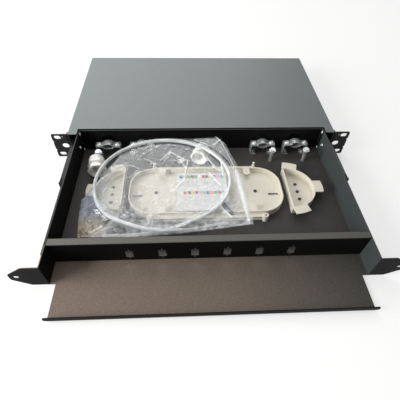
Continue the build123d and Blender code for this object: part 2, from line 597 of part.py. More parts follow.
clamp_screws = []
for number, x in enumerate(entries, 1):
    saddle = bowed_strip(x, saddle_z, -SADDLE_DIP, screw_reach)
    for side in (-1, 1):
        middle = x + side * screw_reach
        leg_x = x + side * (CLAMP_LENGTH - CLAMP_SHEET) / 2
        foot_z = floor_top + CLAMP_SHEET / 2
        leg_line = [(leg_x - side * CLAMP_FOOT, foot_z), (leg_x, foot_z),
                    (leg_x, saddle_z), (middle, saddle_z)]
        saddle += prism_y(bent(leg_line, CLAMP_SHEET, CLAMP_SHEET / 2), *strip)
        saddle -= hole((middle, clamp_y, floor_top), UP, M2, CLAMP_SHEET)
        saddle -= hole((middle, clamp_y, strap_z - CLAMP_SHEET / 2), DOWN, M4, CLAMP_SHEET)
        seat = (middle, clamp_y, strap_z + CLAMP_SHEET / 2)
        clamp_screws.append(screw(seat, DOWN, M4, 4 * CLAMP_SHEET))
    save(f"clamp_base_{number}", saddle)
    strap = bowed_strip(x, strap_z, STRAP_RISE, CLAMP_LENGTH / 2)
    save(f"clamp_strap_{number}", fillet(strap.edges().filter_by(Axis.Z), CLAMP_SHEET))
save("clamp_screws", clamp_screws)
foot_top = floor_top + CLAMP_SHEET
save("clamp_foot_screws", [screw((x, y, foot_top), DOWN, M2, CLAMP_SHEET + SHEET) for x, y in foot_places])

# Anchor posts for the cables' strength members, each with a flanged hexagon bolt
posts = []
bolts = []
for x, y in post_places:
    post = rod((x, y, floor_top), UP, POST_RADIUS, POST_HEIGHT)
    post += rod((x, y, floor_under), UP, BOLT_SHANK, SHEET)
    post_top = floor_top + POST_HEIGHT
    posts.append(post - rod((x, y, post_top), DOWN, BOLT_SHANK + SCREW_PLAY, BOLT_REACH + SCREW_PLAY))
    flats = Pos(x, y) * RegularPolygon(BOLT_FLATS / 2, 6, major_radius=False)
    head = prism_z(flats, post_top, post_top + BOLT_HEAD)
    washer = rod((x, y, post_top), UP, BOLT_WASHER, BOLT_WASHER_SHEET)
    bolts.append(head + washer + rod((x, y, post_top), DOWN, BOLT_SHANK, BOLT_REACH))
save("strength_posts", posts)
save("post_bolts", bolts)

# Splice trays: two shallow stacked trays with ledges and lugs along their long sides
tray_outline = RectangleRounded(2 * tray_end, TRAY_WIDTH, TRAY_CORNER)
tray_inside = offset(tray_outline, -TRAY_RIM)
ledge_edge = TRAY_WIDTH / 2 + TRAY_LEDGE
ledge_length = 2 * (tray_end - TRAY_LEDGE_END)
ledges = Rectangle(ledge_length, 2 * ledge_edge)
peg_reach = ledge_edge + TRAY_PEG[0] - TRAY_PEG[1]
lugs = Sketch()
lug_holes = Sketch()
pegs = []
peg_foot, peg_stem, peg_cap = TRAY_PEG
peg_profile = [(0, 0), (peg_foot, 0), (peg_foot, TRAY_PEG_HEIGHTS[0]),
               (peg_stem, TRAY_PEG_HEIGHTS[0] + TRAY_PEG_STEP), (peg_stem, TRAY_PEG_HEIGHTS[1]),
               (peg_cap, TRAY_PEG_HEIGHTS[1] + TRAY_PEG_STEP), (peg_cap, TRAY_PEG_HEIGHTS[2]),
               (0, TRAY_PEG_HEIGHTS[2])]
for side in (-1, 1):
    lug_place = Pos(side * ledge_length / 2, -ledge_edge)
    lugs += lug_place * Circle(TRAY_LUG)
    lug_holes += lug_place * Circle(TRAY_LUG_HOLE)
    pegs.append(turned(peg_profile, (side * (ledge_length / 2 - peg_foot), peg_reach, 0), UP))


def splice_tray(foot):
    """Tray with its underside at foot: floor, rim, ledges and lugs."""
    top = foot + TRAY_HEIGHT
    body = prism_z(tray_outline, foot, top)
    body += prism_z(ledges - tray_inside, foot, foot + TRAY_LEDGE_SHEET)
    body += prism_z(lugs, foot, top)
    body -= prism_z(tray_inside, foot + TRAY_FLOOR, top + CUT_PAST)
    body -= prism_z(lug_holes, foot - CUT_PAST, top + CUT_PAST)
    return Pos(0, tray_y, 0) * body


upper_foot = floor_top + TRAY_HEIGHT
nest_foot = upper_foot - TRAY_NEST
upper_floor = nest_foot + TRAY_FLOOR
nest = offset(tray_outline, -TRAY_RIM - NEST_PLAY)
tray_top = upper_foot + TRAY_HEIGHT
lower_holes = [hole((x, y, floor_top), UP, M3, TRAY_FLOOR) for x, y in tray_screw_places]
lower_tray = cut(splice_tray(floor_top), lower_holes)
save("splice_tray_lower", lower_tray)
pocket = prism_z(offset(nest, -TRAY_RIM), upper_floor, upper_foot + TRAY_FLOOR + CUT_PAST)
upper_tray = splice_tray(upper_foot) + Pos(0, tray_y, 0) * prism_z(nest, nest_foot, upper_foot + TRAY_FLOOR)
upper_tray -= Pos(0, tray_y, 0) * pocket
for peg in pegs:
    upper_tray += Pos(0, tray_y, upper_foot) * peg
upper_tray = cut(upper_tray, [hole((x, y, nest_foot), UP, M3, TRAY_FLOOR) for x, y in tray_screw_places])
for side in (-1, 1):
    for end in (-1, 1):
        tab_x = side * (tray_end - TRAY_TAB_END)
        tab_end = TRAY_WIDTH / 2 - TRAY_TAB[1] + TRAY_TAB[0] / 2
        tab_root = TRAY_WIDTH / 2 - TRAY_RIM / 2
        tab = Pos(tab_x, end * (tab_root + tab_end) / 2) * Rectangle(TRAY_TAB[0], tab_root - tab_end)
        tab += Pos(tab_x, end * tab_end) * Circle(TRAY_TAB[0] / 2)
        upper_tray += Pos(0, tray_y, 0) * prism_z(tab, tray_top - TRAY_TAB[2], tray_top)
    core = Pos(side * (tray_end - TRAY_SLOT_END), tray_y - TRAY_SLOT_SHIFT) * SlotOverall(*TRAY_SLOT)
    upper_tray -= prism_z(core, nest_foot - CUT_PAST, upper_floor + CUT_PAST)
save("splice_tray_upper", upper_tray)
tray_grip = upper_floor - floor_under
save("tray_screws", [screw((x, y, upper_floor), DOWN, M3, tray_grip) for x, y in tray_screw_places])

# Splice comb in the middle of the upper tray: ribs on a plate
comb = prism_z(Pos(0, tray_y) * Rectangle(*COMB_SIZE), upper_floor, upper_floor + COMB_FLOOR)
rib_step = (COMB_SIZE[1] - COMB_RIB) / (COMB_RIBS - 1)
for index in range(COMB_RIBS):
    rib_y = tray_y + (index - (COMB_RIBS - 1) / 2) * rib_step
    comb += prism_z(Pos(0, rib_y) * Rectangle(COMB_SIZE[0], COMB_RIB), upper_floor, tray_top)
save("splice_comb", comb)

# Fibre guides: half-round walled trays with three flat tabs round the rim
half_disc = Circle(GUIDE_RADIUS) & Pos(GUIDE_RADIUS, 0) * Rectangle(2 * GUIDE_RADIUS, 2 * GUIDE_RADIUS)
guide = prism_z(half_disc, 0, GUIDE_HEIGHT)
guide -= prism_z(offset(half_disc, -GUIDE_WALL), GUIDE_FLOOR, GUIDE_HEIGHT + CUT_PAST)
tab_radius = GUIDE_RADIUS + GUIDE_TAB[1]
for angle in GUIDE_TAB_ANGLES:
    strip_out = Rot(0, 0, angle) * (Pos(tab_radius / 2, 0) * Rectangle(tab_radius, GUIDE_TAB[0]))
    tab = (strip_out & Circle(tab_radius)) - Circle(GUIDE_RADIUS - GUIDE_WALL)
    guide += prism_z(tab, GUIDE_HEIGHT - GUIDE_TAB[2], GUIDE_HEIGHT)
guide = Pos(guide_place, tray_y, floor_top) * guide
guide = cut(guide, [hole((x, y, floor_top), UP, M3, GUIDE_FLOOR) for x, y in guide_screw_places])
save("right_fibre_guide", guide)
save("left_fibre_guide", mirrored(guide))
guide_seat = floor_top + GUIDE_FLOOR
guide_grip = GUIDE_FLOOR + SHEET
save("guide_screws", [screw((x, y, guide_seat), DOWN, M3, guide_grip) for x, y in guide_screw_places])

# Cable glands of the kit, lying on the drawer floor: body, dome nut and lock nut
nut_half = GLAND_LOCK_NUT / 2
gland_length = nut_half + GLAND_THREAD + GLAND_COLLAR + GLAND_DOME
thread_start = nut_half - gland_length / 2
collar_start = thread_start + GLAND_THREAD
dome_start = collar_start + GLAND_COLLAR
hexagon = RegularPolygon(GLAND_FLATS / 2, 6, major_radius=False, rotation=30)
neck = GLAND_BARREL - nut_half
neck_end = dome_start + GLAND_NECK
gland_body = prism_z(Circle(GLAND_BARREL), thread_start, collar_start)
gland_body += prism_z(hexagon, collar_start, dome_start)
gland_body += prism_z(Circle(neck), dome_start, neck_end)
gland_body -= prism_z(Circle(GLAND_BORE), thread_start - CUT_PAST, neck_end + CUT_PAST)
dome_in = neck + GLAND_PLAY
dome_out = GLAND_FLATS / 2 - GLAND_PLAY
dome_profile = [(dome_in, 0), (dome_out, 0), (dome_out, GLAND_DOME_SIDE),
                (GLAND_BORE + GLAND_DOME_LIP, GLAND_DOME), (GLAND_BORE, GLAND_DOME),
                (GLAND_BORE, GLAND_DOME_SEAT), (dome_in, GLAND_NECK + GLAND_PLAY)]
dome_nut = turned(dome_profile, (0, 0, dome_start), UP)
nut_start = -gland_length / 2
lock_nut = prism_z(hexagon - Circle(GLAND_BARREL + GLAND_PLAY), nut_start, nut_start + GLAND_LOCK_NUT)
gland_parts = {"gland_bodies": gland_body, "gland_dome_nuts": dome_nut, "gland_lock_nuts": lock_nut}
gland_z = floor_top + GLAND_FLATS / 2
left_place = (GLAND_FLATS / 2 + GLAND_ROOM - drawer_in, (post_y + tray_y) / 2 + GLAND_STEP, gland_z)
middle_place = (GLAND_OFFSET, (rear_in + tray_y + ledge_edge) / 2, gland_z)
for name, shape in gland_parts.items():
    placed = []
    for place, heading in zip((left_place, middle_place), GLAND_HEADINGS):
        lying = Rot(0, 0, heading) * (Rot(0, 90, 0) * shape)
        placed.append(Pos(*place) * lying)
    save(name, placed)

# Label card lying on the upper tray, and a small clip on it
card = RectangleRounded(*CARD_SIZE, CARD_CORNER)
card_y = tray_y + CARD_CENTRE[1]
save("label_card", Pos(CARD_CENTRE[0], card_y) * prism_z(card, tray_top, tray_top + CARD_SHEET))
clip = Box(*CLIP_SIZE, align=UPRIGHT)
clip = fillet(clip.edges().filter_by(Axis.Z), CLIP_SIZE[2])
clip_place = Pos(CLIP_CENTRE[0], tray_y + CLIP_CENTRE[1], tray_top + CARD_SHEET)
save("kit_clip", clip_place * (Rot(0, 0, CLIP_ANGLE) * clip))

# Spare tube, a flat coil that leans on the left guide in front and on the middle gland behind,
# and the clear bag over it. Both are made flat and then tipped.
gland_y = middle_place[1] - tray_y
rest_rear = gland_z + GLAND_FLATS / 2 + COIL_CLEARANCE
rest_front = floor_top + GUIDE_HEIGHT + COIL_CLEARANCE
front_reach = GUIDE_RADIUS + GUIDE_TAB[1]
lean = (rest_rear - rest_front) / (gland_y - gland_length / 2 + front_reach)
coil_x = COIL_CENTRE[0] - drawer_in
coil_y = COIL_CENTRE[1]
coil_z = rest_front + lean * (coil_y + front_reach)
tipped = Plane(origin=(coil_x, tray_y + coil_y, coil_z), x_dir=(1, 0, 0), z_dir=(0, -lean, 1))
half_band = COIL_TURNS * TUBE_DIAMETER / 2
band = Ellipse(COIL_AXES[0] + half_band, COIL_AXES[1] + half_band)
band -= Ellipse(COIL_AXES[0] - half_band, COIL_AXES[1] - half_band)
save("kit_tube_coil", tipped * prism_z(band, 0, TUBE_DIAMETER))

# The tube's two ends leave the coil in front and lie on the drawer floor


def tube_end(points):
    """Tube on the drawer floor along two straight runs, with a bend as large as they allow."""
    height = floor_top + COIL_CLEARANCE + TUBE_DIAMETER / 2
    route = [Vector(coil_x + x, tray_y + coil_y + y, height) for x, y in points]
    runs = [end - start for start, end in zip(route, route[1:])]
    turn = runs[0].get_angle(runs[1])
    shorter = min(run.length for run in runs)
    bend_radius = TUBE_BEND_SHARE * shorter / tan(radians(turn / 2))
    path = FilletPolyline(*route, radius=bend_radius)
    section = Plane(origin=path @ 0, z_dir=path % 0) * Circle(TUBE_DIAMETER / 2)
    body = sweep(section, path=path)
    print("tube bend radius", round(bend_radius, 1), "volume over section times length",
          round(body.volume / (section.area * path.length), 4))
    return body


save("kit_tube_end_left", tube_end(TUBE_END_LEFT))
save("kit_tube_end_right", tube_end(TUBE_END_RIGHT))

bag_face = make_face(Polyline(*BAG_OUTLINE, close=True))
bag_inner = TUBE_DIAMETER + COIL_CLEARANCE
bag = extrude(bag_face, amount=bag_inner + BAG_FILM, taper=BAG_SIDE)
film_across = BAG_FILM / cos(radians(BAG_SIDE))
hollow = extrude(offset(bag_face, -film_across, kind=Kind.INTERSECTION), amount=bag_inner, taper=BAG_SIDE)
save("kit_bag", tipped * (bag - hollow))
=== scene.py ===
import json

import bmesh
import bpy
import numpy as np
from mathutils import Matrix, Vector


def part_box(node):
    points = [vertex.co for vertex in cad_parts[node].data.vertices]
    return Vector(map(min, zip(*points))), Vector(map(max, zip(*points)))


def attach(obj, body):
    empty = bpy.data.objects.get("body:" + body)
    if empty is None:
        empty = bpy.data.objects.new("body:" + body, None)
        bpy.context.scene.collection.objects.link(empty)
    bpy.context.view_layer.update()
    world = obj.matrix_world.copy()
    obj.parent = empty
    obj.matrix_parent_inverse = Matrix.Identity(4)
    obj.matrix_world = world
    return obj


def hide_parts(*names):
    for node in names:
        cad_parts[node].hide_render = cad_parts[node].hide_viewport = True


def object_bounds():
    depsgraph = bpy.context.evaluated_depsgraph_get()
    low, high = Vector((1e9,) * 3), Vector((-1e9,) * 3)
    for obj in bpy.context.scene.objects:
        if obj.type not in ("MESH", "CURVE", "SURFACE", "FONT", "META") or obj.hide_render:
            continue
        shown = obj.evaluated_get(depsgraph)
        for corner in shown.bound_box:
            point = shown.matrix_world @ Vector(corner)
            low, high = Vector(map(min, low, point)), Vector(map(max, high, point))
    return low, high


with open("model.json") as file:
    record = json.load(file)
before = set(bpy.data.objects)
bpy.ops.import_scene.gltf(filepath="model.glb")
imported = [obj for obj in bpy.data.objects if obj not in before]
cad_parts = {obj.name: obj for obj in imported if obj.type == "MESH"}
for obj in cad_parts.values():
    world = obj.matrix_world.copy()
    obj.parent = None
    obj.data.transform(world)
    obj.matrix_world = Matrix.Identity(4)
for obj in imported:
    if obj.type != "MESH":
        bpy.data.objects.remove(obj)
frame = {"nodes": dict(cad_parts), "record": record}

cad_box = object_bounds()

# Camera over the drawer's front, where the photograph was taken from: a short lens looking down
# at the open drawer. Places are in millimetres and become metres here.
MM = 0.001
CAMERA_PLACE = (-32.02, -435.93, 341.25)
CAMERA_TURN = (37.279, -1.323, -2.586)
CAMERA_SENSOR = 36.0
CAMERA_LENS = 29.098
CAMERA_SHIFT = (-0.0011, 0.0731)

camera = bpy.data.objects.new("camera", bpy.data.cameras.new("camera"))
camera.data.sensor_width = CAMERA_SENSOR
camera.data.lens = CAMERA_LENS
camera.data.shift_x, camera.data.shift_y = CAMERA_SHIFT
camera.location = np.array(CAMERA_PLACE) * MM
camera.rotation_euler = np.radians(CAMERA_TURN)
bpy.context.collection.objects.link(camera)
bpy.context.scene.camera = camera

# Studio: a pale paper floor under the housing, a large soft lamp behind and above that adds a real sheen
# to the flat sheets beside the sheen painted on them, a weak one overhead, one on the left that lights the
# walls that look that way, and a dim white surround.
FLOOR_HALF = 3.0
FLOOR_CORNERS = ((-1, -1), (1, -1), (1, 1), (-1, 1))
FLOOR_WHITE = "#bdbdbc"
FLOOR_SHADE = "#3c3c3b"
FLOOR_GLOW = 0.52
PURE_WHITE = "#ffffff"
SKY_LIGHT = 0.28
LAMPS = {                    # place and aim in metres, size in metres, watts
    "rear_lamp": ((-0.2, 1.6, 1.45), (0.0, 0.0, 0.0), 1.7, 18.0),
    "ceiling_lamp": ((-0.2, -0.2, 2.0), (0.0, -0.1, 0.0), 2.0, 8.0),
    "side_lamp": ((-1.45, -0.55, 0.6), (0.05, -0.1, 0.0), 0.9, 32.0),
}


def srgb(code):
    """Linear colour of an sRGB hex value, by the standard's two-part curve."""
    share = np.array([int(code[i:i + 2], 16) for i in (1, 3, 5)]) / 255
    linear = np.where(share <= 0.04045, share / 12.92, ((share + 0.055) / 1.055) ** 2.4)
    return (*linear.tolist(), 1.0)


def add_node(tree, kind, sockets=None, **options):
    """Adds a node, sets its options, and sets or links each input given by name or number."""
    node = tree.nodes.new(kind)
    for option, value in options.items():
        setattr(node, option, value)
    for socket, value in (sockets or {}).items():
        if isinstance(value, bpy.types.NodeSocket):
            tree.links.new(value, node.inputs[socket])
        else:
            node.inputs[socket].default_value = value
    return node


def new_material(name):
    """A material with an empty node tree, and the Object coordinates that its patterns read."""
    material = bpy.data.materials.new(name)
    material.use_nodes = True
    tree = material.node_tree
    tree.nodes.clear()
    place = add_node(tree, "ShaderNodeTexCoord").outputs["Object"]
    return material, tree, place


def seen_directly(tree):
    """1 for rays that show the background: from the camera, off gloss or through glass."""
    ray = add_node(tree, "ShaderNodeLightPath").outputs
    seen = add_node(tree, "ShaderNodeMath", {0: ray["Is Camera Ray"], 1: ray["Is Glossy Ray"]},
                    operation="MAXIMUM")
    seen = add_node(tree, "ShaderNodeMath", {0: seen.outputs[0], 1: ray["Is Transmission Ray"]},
                    operation="MAXIMUM")
    return seen.outputs[0]


def lamp(name, place, aim, size, power):
    """Square soft lamp at place, turned to aim."""
    light = bpy.data.lights.new(name, "AREA")
    light.size = size
    light.energy = power
    holder = bpy.data.objects.new(name, light)
    holder.location = place
    away = holder.location - Vector(aim)
    holder.rotation_euler = away.to_track_quat("Z", "Y").to_euler()
    bpy.context.collection.objects.link(holder)


floor_level = cad_box[0].z
floor_mesh = bpy.data.meshes.new("studio_floor")
floor_places = [(x * FLOOR_HALF, y * FLOOR_HALF, floor_level) for x, y in FLOOR_CORNERS]
floor_mesh.from_pydata(floor_places, [], [(0, 1, 2, 3)])
floor = bpy.data.objects.new("studio_floor", floor_mesh)
bpy.context.collection.objects.link(floor)

# Matt paper: white where it is looked at, and dark to the light that it would throw up at the object
floor_paper, tree, place = new_material("studio_paper")
paper = add_node(tree, "ShaderNodeMix",
                 {0: seen_directly(tree), 6: srgb(FLOOR_SHADE), 7: srgb(FLOOR_WHITE)}, data_type="RGBA")
glow = add_node(tree, "ShaderNodeMath", {0: seen_directly(tree), 1: FLOOR_GLOW}, operation="MULTIPLY")
shader = add_node(tree, "ShaderNodeBsdfPrincipled",
                  {"Base Color": paper.outputs[2], "Roughness": 1.0, "Specular IOR Level": 0.0,
                   "Emission Color": srgb(PURE_WHITE), "Emission Strength": glow.outputs[0]})
add_node(tree, "ShaderNodeOutputMaterial", {"Surface": shader.outputs[0]})
floor_mesh.materials.append(floor_paper)

for name, setting in LAMPS.items():
    lamp(name, *setting)

world = bpy.data.worlds.new("studio_surround")
world.use_nodes = True
tree = world.node_tree
tree.nodes.clear()
dim = add_node(tree, "ShaderNodeBackground", {"Color": srgb(PURE_WHITE), "Strength": SKY_LIGHT})
white = add_node(tree, "ShaderNodeBackground", {"Color": srgb(PURE_WHITE), "Strength": 1.0})
surround = add_node(tree, "ShaderNodeMixShader",
                    {0: seen_directly(tree), 1: dim.outputs[0], 2: white.outputs[0]})
add_node(tree, "ShaderNodeOutputWorld", {"Surface": surround.outputs[0]})
bpy.context.scene.world = world
bpy.context.scene.view_settings.view_transform = "Standard"

# Housing: bent steel channel with a flat cover and two angle ears, all powder coated. The coat is a
# baked polyester powder, satin, with a fine orange-peel grain and a paler line on its edges, partly wear and
# partly a painted highlight.
COAT_COLOURS = ("#101010", "#151515", "#7a7a78", "#101010")   # two tones, edge line of wear and painted highlight, painted light on walls looking left
COVER_SHEEN = ("#86908f",) * 3    # painted sheen: behind the border, then in front of it on the left and on the right
CHASSIS_SHEEN = ("#454748",) * 3
EAR_SHEEN = ("#2c2c2d",) * 3
SHELF_BORDER = -210 * MM      # the drawer's open shelf lies in front of this place
LIP_THICK = 1.6 * MM
LIP_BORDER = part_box("drawer_tray")[0][1] + LIP_THICK   # the shelf's lip gets no painted sheen
SHEEN_SPREAD = 215 * MM       # from the middle to either side
SHEEN_LEFT_OVER = 0.55        # share of the painted sheen that is left at the right side, away from the light
SHELF_TURN = 0.1             # share of the spread from which the shelf's tone changes to the right
SHEEN_PATCH = 0.6             # least share of the painted sheen and side light between the grains
FACE_LOW, FACE_HIGH = 0.6, 0.95      # how squarely a face looks up or left, as a cosine
EDGE_LOW, EDGE_HIGH = 0.97, 0.8      # cosine between an edge's rounded and flat normals
EDGE_SHARE = 0.6
COAT_CLOUD = 90 * MM
COAT_GRAIN = 1.1 * MM        # the real grain is about 0.3 mm, drawn coarser so that it shows
COAT_RELIEF = 0.05 * MM
COAT_BUMP = 0.3
COAT_SWING = 0.06            # of the roughness, from grain to grain
COAT_EDGE = 0.5 * MM
EDGE_SAMPLES = 6
CLOUD_LOW, CLOUD_HIGH = 0.35, 0.65   # the values between which slow noise mostly lies
GRAIN_LOW, GRAIN_HIGH = 0.3, 0.7


def powder_coat(name, colours, sheen, roughness, specular):
    """Satin powder coat: slow clouds between two tones, fine peel in bump and gloss, a pale edge line that is
    partly wear and partly a painted highlight, painted light on walls that look left, and a painted sheen
    on the faces that look up. The painted sheen fades to the right, away from the light, changes its tone
    along the open shelf and leaves the shelf's lip dark."""
    material, tree, place = new_material(name)
    flow = add_node(tree, "ShaderNodeTexNoise", {"Vector": place, "Scale": 1 / COAT_CLOUD, "Detail": 3.0})
    peel = add_node(tree, "ShaderNodeTexNoise", {"Vector": place, "Scale": 1 / COAT_GRAIN, "Detail": 2.0})
    edge = add_node(tree, "ShaderNodeBevel", {"Radius": COAT_EDGE}, samples=EDGE_SAMPLES).outputs[0]
    flat = add_node(tree, "ShaderNodeNewGeometry").outputs["True Normal"]
    bend = add_node(tree, "ShaderNodeVectorMath", {0: edge, 1: flat}, operation="DOT_PRODUCT")
    # Paler line on the edges, partly wear and partly a painted highlight; the open shelf gets none
    edge_line = add_node(tree, "ShaderNodeMapRange",
                    {"Value": bend.outputs["Value"], "From Min": EDGE_LOW, "From Max": EDGE_HIGH,
                     "To Max": EDGE_SHARE})
    cloud = add_node(tree, "ShaderNodeMapRange",
                     {"Value": flow.outputs[0], "From Min": CLOUD_LOW, "From Max": CLOUD_HIGH})
    body = add_node(tree, "ShaderNodeMix",
                    {0: cloud.outputs[0], 6: srgb(colours[0]), 7: srgb(colours[1])}, data_type="RGBA")
    axes = add_node(tree, "ShaderNodeSeparateXYZ", {0: place}).outputs
    outside = add_node(tree, "ShaderNodeMath", {0: axes[1], 1: SHELF_BORDER}, operation="LESS_THAN")
    facing = add_node(tree, "ShaderNodeSeparateXYZ", {0: flat}).outputs
    level = add_node(tree, "ShaderNodeMapRange",
                     {"Value": facing[2], "From Min": FACE_LOW, "From Max": FACE_HIGH})
    # Walls that look left are painted lighter, as if lit from the left
    upright = add_node(tree, "ShaderNodeMapRange",
                       {"Value": facing[0], "From Min": -FACE_LOW, "From Max": -FACE_HIGH})
    patchy = add_node(tree, "ShaderNodeMapRange",
                      {"Value": peel.outputs[0], "From Min": GRAIN_LOW, "From Max": GRAIN_HIGH,
                       "To Min": SHEEN_PATCH})
    painted_side_light = add_node(tree, "ShaderNodeMath",
                       {0: upright.outputs[0], 1: patchy.outputs[0]}, operation="MULTIPLY")
    side_lit = add_node(tree, "ShaderNodeMix",
                     {0: painted_side_light.outputs[0], 6: body.outputs[2], 7: srgb(colours[3])}, data_type="RGBA")
    # Painted sheen on faces that look up, broken by the grain and fading to the right, away from the light
    sheen_fade = add_node(tree, "ShaderNodeMapRange",
                      {"Value": axes[0], "From Min": -SHEEN_SPREAD, "From Max": SHEEN_SPREAD,
                       "To Min": 1.0, "To Max": SHEEN_LEFT_OVER})
    sheen_share = add_node(tree, "ShaderNodeMath",
                       {0: level.outputs[0], 1: patchy.outputs[0]}, operation="MULTIPLY")
    sheen_share = add_node(tree, "ShaderNodeMath",
                       {0: sheen_share.outputs[0], 1: sheen_fade.outputs[0]}, operation="MULTIPLY")
    behind_lip = add_node(tree, "ShaderNodeMath", {0: axes[1], 1: LIP_BORDER}, operation="GREATER_THAN")
    sheen_share = add_node(tree, "ShaderNodeMath",
                       {0: sheen_share.outputs[0], 1: behind_lip.outputs[0]}, operation="MULTIPLY")
    across = add_node(tree, "ShaderNodeMapRange",
                      {"Value": axes[0], "From Min": SHELF_TURN * SHEEN_SPREAD, "From Max": SHEEN_SPREAD})
    shelf_sheen = add_node(tree, "ShaderNodeMix",
                     {0: across.outputs[0], 6: srgb(sheen[1]), 7: srgb(sheen[2])}, data_type="RGBA")
    painted_sheen = add_node(tree, "ShaderNodeMix",
                     {0: outside.outputs[0], 6: srgb(sheen[0]), 7: shelf_sheen.outputs[2]}, data_type="RGBA")
    sheened = add_node(tree, "ShaderNodeMix",
                     {0: sheen_share.outputs[0], 6: side_lit.outputs[2], 7: painted_sheen.outputs[2]}, data_type="RGBA")
    edge_line_inside = add_node(tree, "ShaderNodeMath",
                      {0: edge_line.outputs[0], 1: outside.outputs[0]}, operation="SUBTRACT", use_clamp=True)
    colour = add_node(tree, "ShaderNodeMix",
                      {0: edge_line_inside.outputs[0], 6: sheened.outputs[2], 7: srgb(colours[2])}, data_type="RGBA")
    gloss = add_node(tree, "ShaderNodeMapRange",
                     {"Value": peel.outputs[0], "From Min": GRAIN_LOW, "From Max": GRAIN_HIGH,
                      "To Min": roughness - COAT_SWING, "To Max": roughness + COAT_SWING})
    relief = add_node(tree, "ShaderNodeBump",
                      {"Height": peel.outputs[0], "Strength": COAT_BUMP, "Distance": COAT_RELIEF,
                       "Normal": edge})
    shader = add_node(tree, "ShaderNodeBsdfPrincipled",
                      {"Base Color": colour.outputs[2], "Roughness": gloss.outputs[0],
                       "Specular IOR Level": specular, "Normal": relief.outputs[0]})
    add_node(tree, "ShaderNodeOutputMaterial", {"Surface": shader.outputs[0]})
    return material


def dress(material, *names):
    """Gives CAD nodes their finished material."""
    for name in names:
        for holder in frame["nodes"][name].material_slots:
            holder.material = material


# The cover shows a pale grey painted sheen, the channel a duller one, and the ears are nearly black
dress(powder_coat("cover_powder_coat", COAT_COLOURS, COVER_SHEEN, 0.42, 0.3), "top_cover")
dress(powder_coat("chassis_powder_coat", COAT_COLOURS, CHASSIS_SHEEN, 0.5, 0.3), "housing_chassis")
dress(powder_coat("ear_powder_coat", COAT_COLOURS, EAR_SHEEN, 0.5, 0.2), "left_rack_ear", "right_rack_ear")

# Housing screws: pan heads with a cross recess, zinc-plated steel, through the ears and the cover's
# flanges. The head is domed and the driver's cross is sunk into it.
M4 = 2.0 * MM                # radii of the shanks
M3 = 1.5 * MM
EAR_GRIP = 3.2 * MM          # lengths of the shanks
COVER_GRIP = 3.0 * MM
HEAD_SPREAD = 1.8            # shares of the shank's radius
HEAD_RISE = 1.1
HEAD_STEPS = 15              # points over the dome and round it
HEAD_ROUND = 40
CROSS_REACH = 0.62           # shares of the head's radius
CROSS_ARM = 0.17
CROSS_SLOPES = (0.05, 0.08)  # of an arm's sides and of its end
CROSS_DEPTH = 0.6            # share of the head's height
SMOOTH_ANGLE = np.radians(40)
MERGE_REACH = 1e-6
SIDES = (-1.0, 1.0)
FIRST, MIDDLE, LAST = 0, 1, 2
ZINC_COLOURS = ("#c3c6c8", "#dfe1e2")
ZINC_CLOUD = 6 * MM
PLATE_EDGE = 0.3 * MM
PLATE_RELIEF = 0.03 * MM
PLATE_BUMP = 0.2
PLATE_SWING = 0.07
PLATE_METAL = 0.75           # a dull passivated skin over the metal
EVEN = (1.0, 1.0, 1.0)


def grid_quads(rows, columns, wrap_rows, wrap_columns):
    """Corner numbers of the quads between neighbours in a grid, closed round where it wraps."""
    row, column = np.meshgrid(np.arange(rows if wrap_rows else rows - 1),
                              np.arange(columns if wrap_columns else columns - 1), indexing="ij")
    row, column = row.ravel(), column.ravel()
    below, beside = (row + 1) % rows, (column + 1) % columns
    return np.stack([row * columns + column, row * columns + beside,
                     below * columns + beside, below * columns + column], axis=1)


def make_piece(name, grids, material, body, node):
    """Joins point grids, each with its two wraps, into one closed mesh that rides on a body and takes
    the place of a CAD node."""
    points, quads, count = [], [], 0
    for grid, wrap_rows, wrap_columns in grids:
        points.append(grid.reshape(-1, 3))
        quads.append(grid_quads(*grid.shape[:2], wrap_rows, wrap_columns) + count)
        count += len(points[-1])
    mesh = bpy.data.meshes.new(name)
    mesh.from_pydata(np.concatenate(points).tolist(), [], np.concatenate(quads).tolist())
    shell = bmesh.new()
    shell.from_mesh(mesh)
    bmesh.ops.remove_doubles(shell, verts=shell.verts, dist=MERGE_REACH)
    bmesh.ops.recalc_face_normals(shell, faces=shell.faces)
    shell.to_mesh(mesh)
    shell.free()
    mesh.shade_smooth()
    mesh.set_sharp_from_angle(angle=SMOOTH_ANGLE)
    mesh.materials.append(material)
    piece = bpy.data.objects.new(name, mesh)
    bpy.context.collection.objects.link(piece)
    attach(piece, body)
    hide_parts(node)
    return piece


def cross_screw(seat, outward, radius, length):
    """Turned profile: height = rise * cos(t)^0.6 at radius head * sin(t)^0.8 over the dome, then the
    underside and the shank; inside the two arms of the cross the dome drops by the recess depth."""
    head, rise = radius * HEAD_SPREAD, radius * HEAD_RISE
    t = np.linspace(0, np.pi / 2, HEAD_STEPS)
    across = np.concatenate([head * np.sin(t) ** 0.8, [radius, radius, 0.0]])
    height = np.concatenate([rise * np.cos(t) ** 0.6, [0.0, -length, -length]])
    angle = np.linspace(0, 2 * np.pi, HEAD_ROUND, endpoint=False)
    x, y = across[:, None] * np.cos(angle), across[:, None] * np.sin(angle)
    arm = np.minimum(np.abs(x), np.abs(y)) / head
    reach = np.maximum(np.abs(x), np.abs(y)) / head
    sunk = np.clip((CROSS_ARM - arm) / CROSS_SLOPES[0], 0, 1)
    sunk *= np.clip((CROSS_REACH - reach) / CROSS_SLOPES[1], 0, 1)
    sunk *= (height > 0)[:, None]
    z = height[:, None] - CROSS_DEPTH * rise * sunk
    outward = np.array(outward, dtype=float)
    side = np.array([outward[1], outward[2], outward[0]])
    other = np.cross(outward, side)
    grid = np.array(seat) + x[..., None] * side + y[..., None] * other + z[..., None] * outward
    return grid, False, True


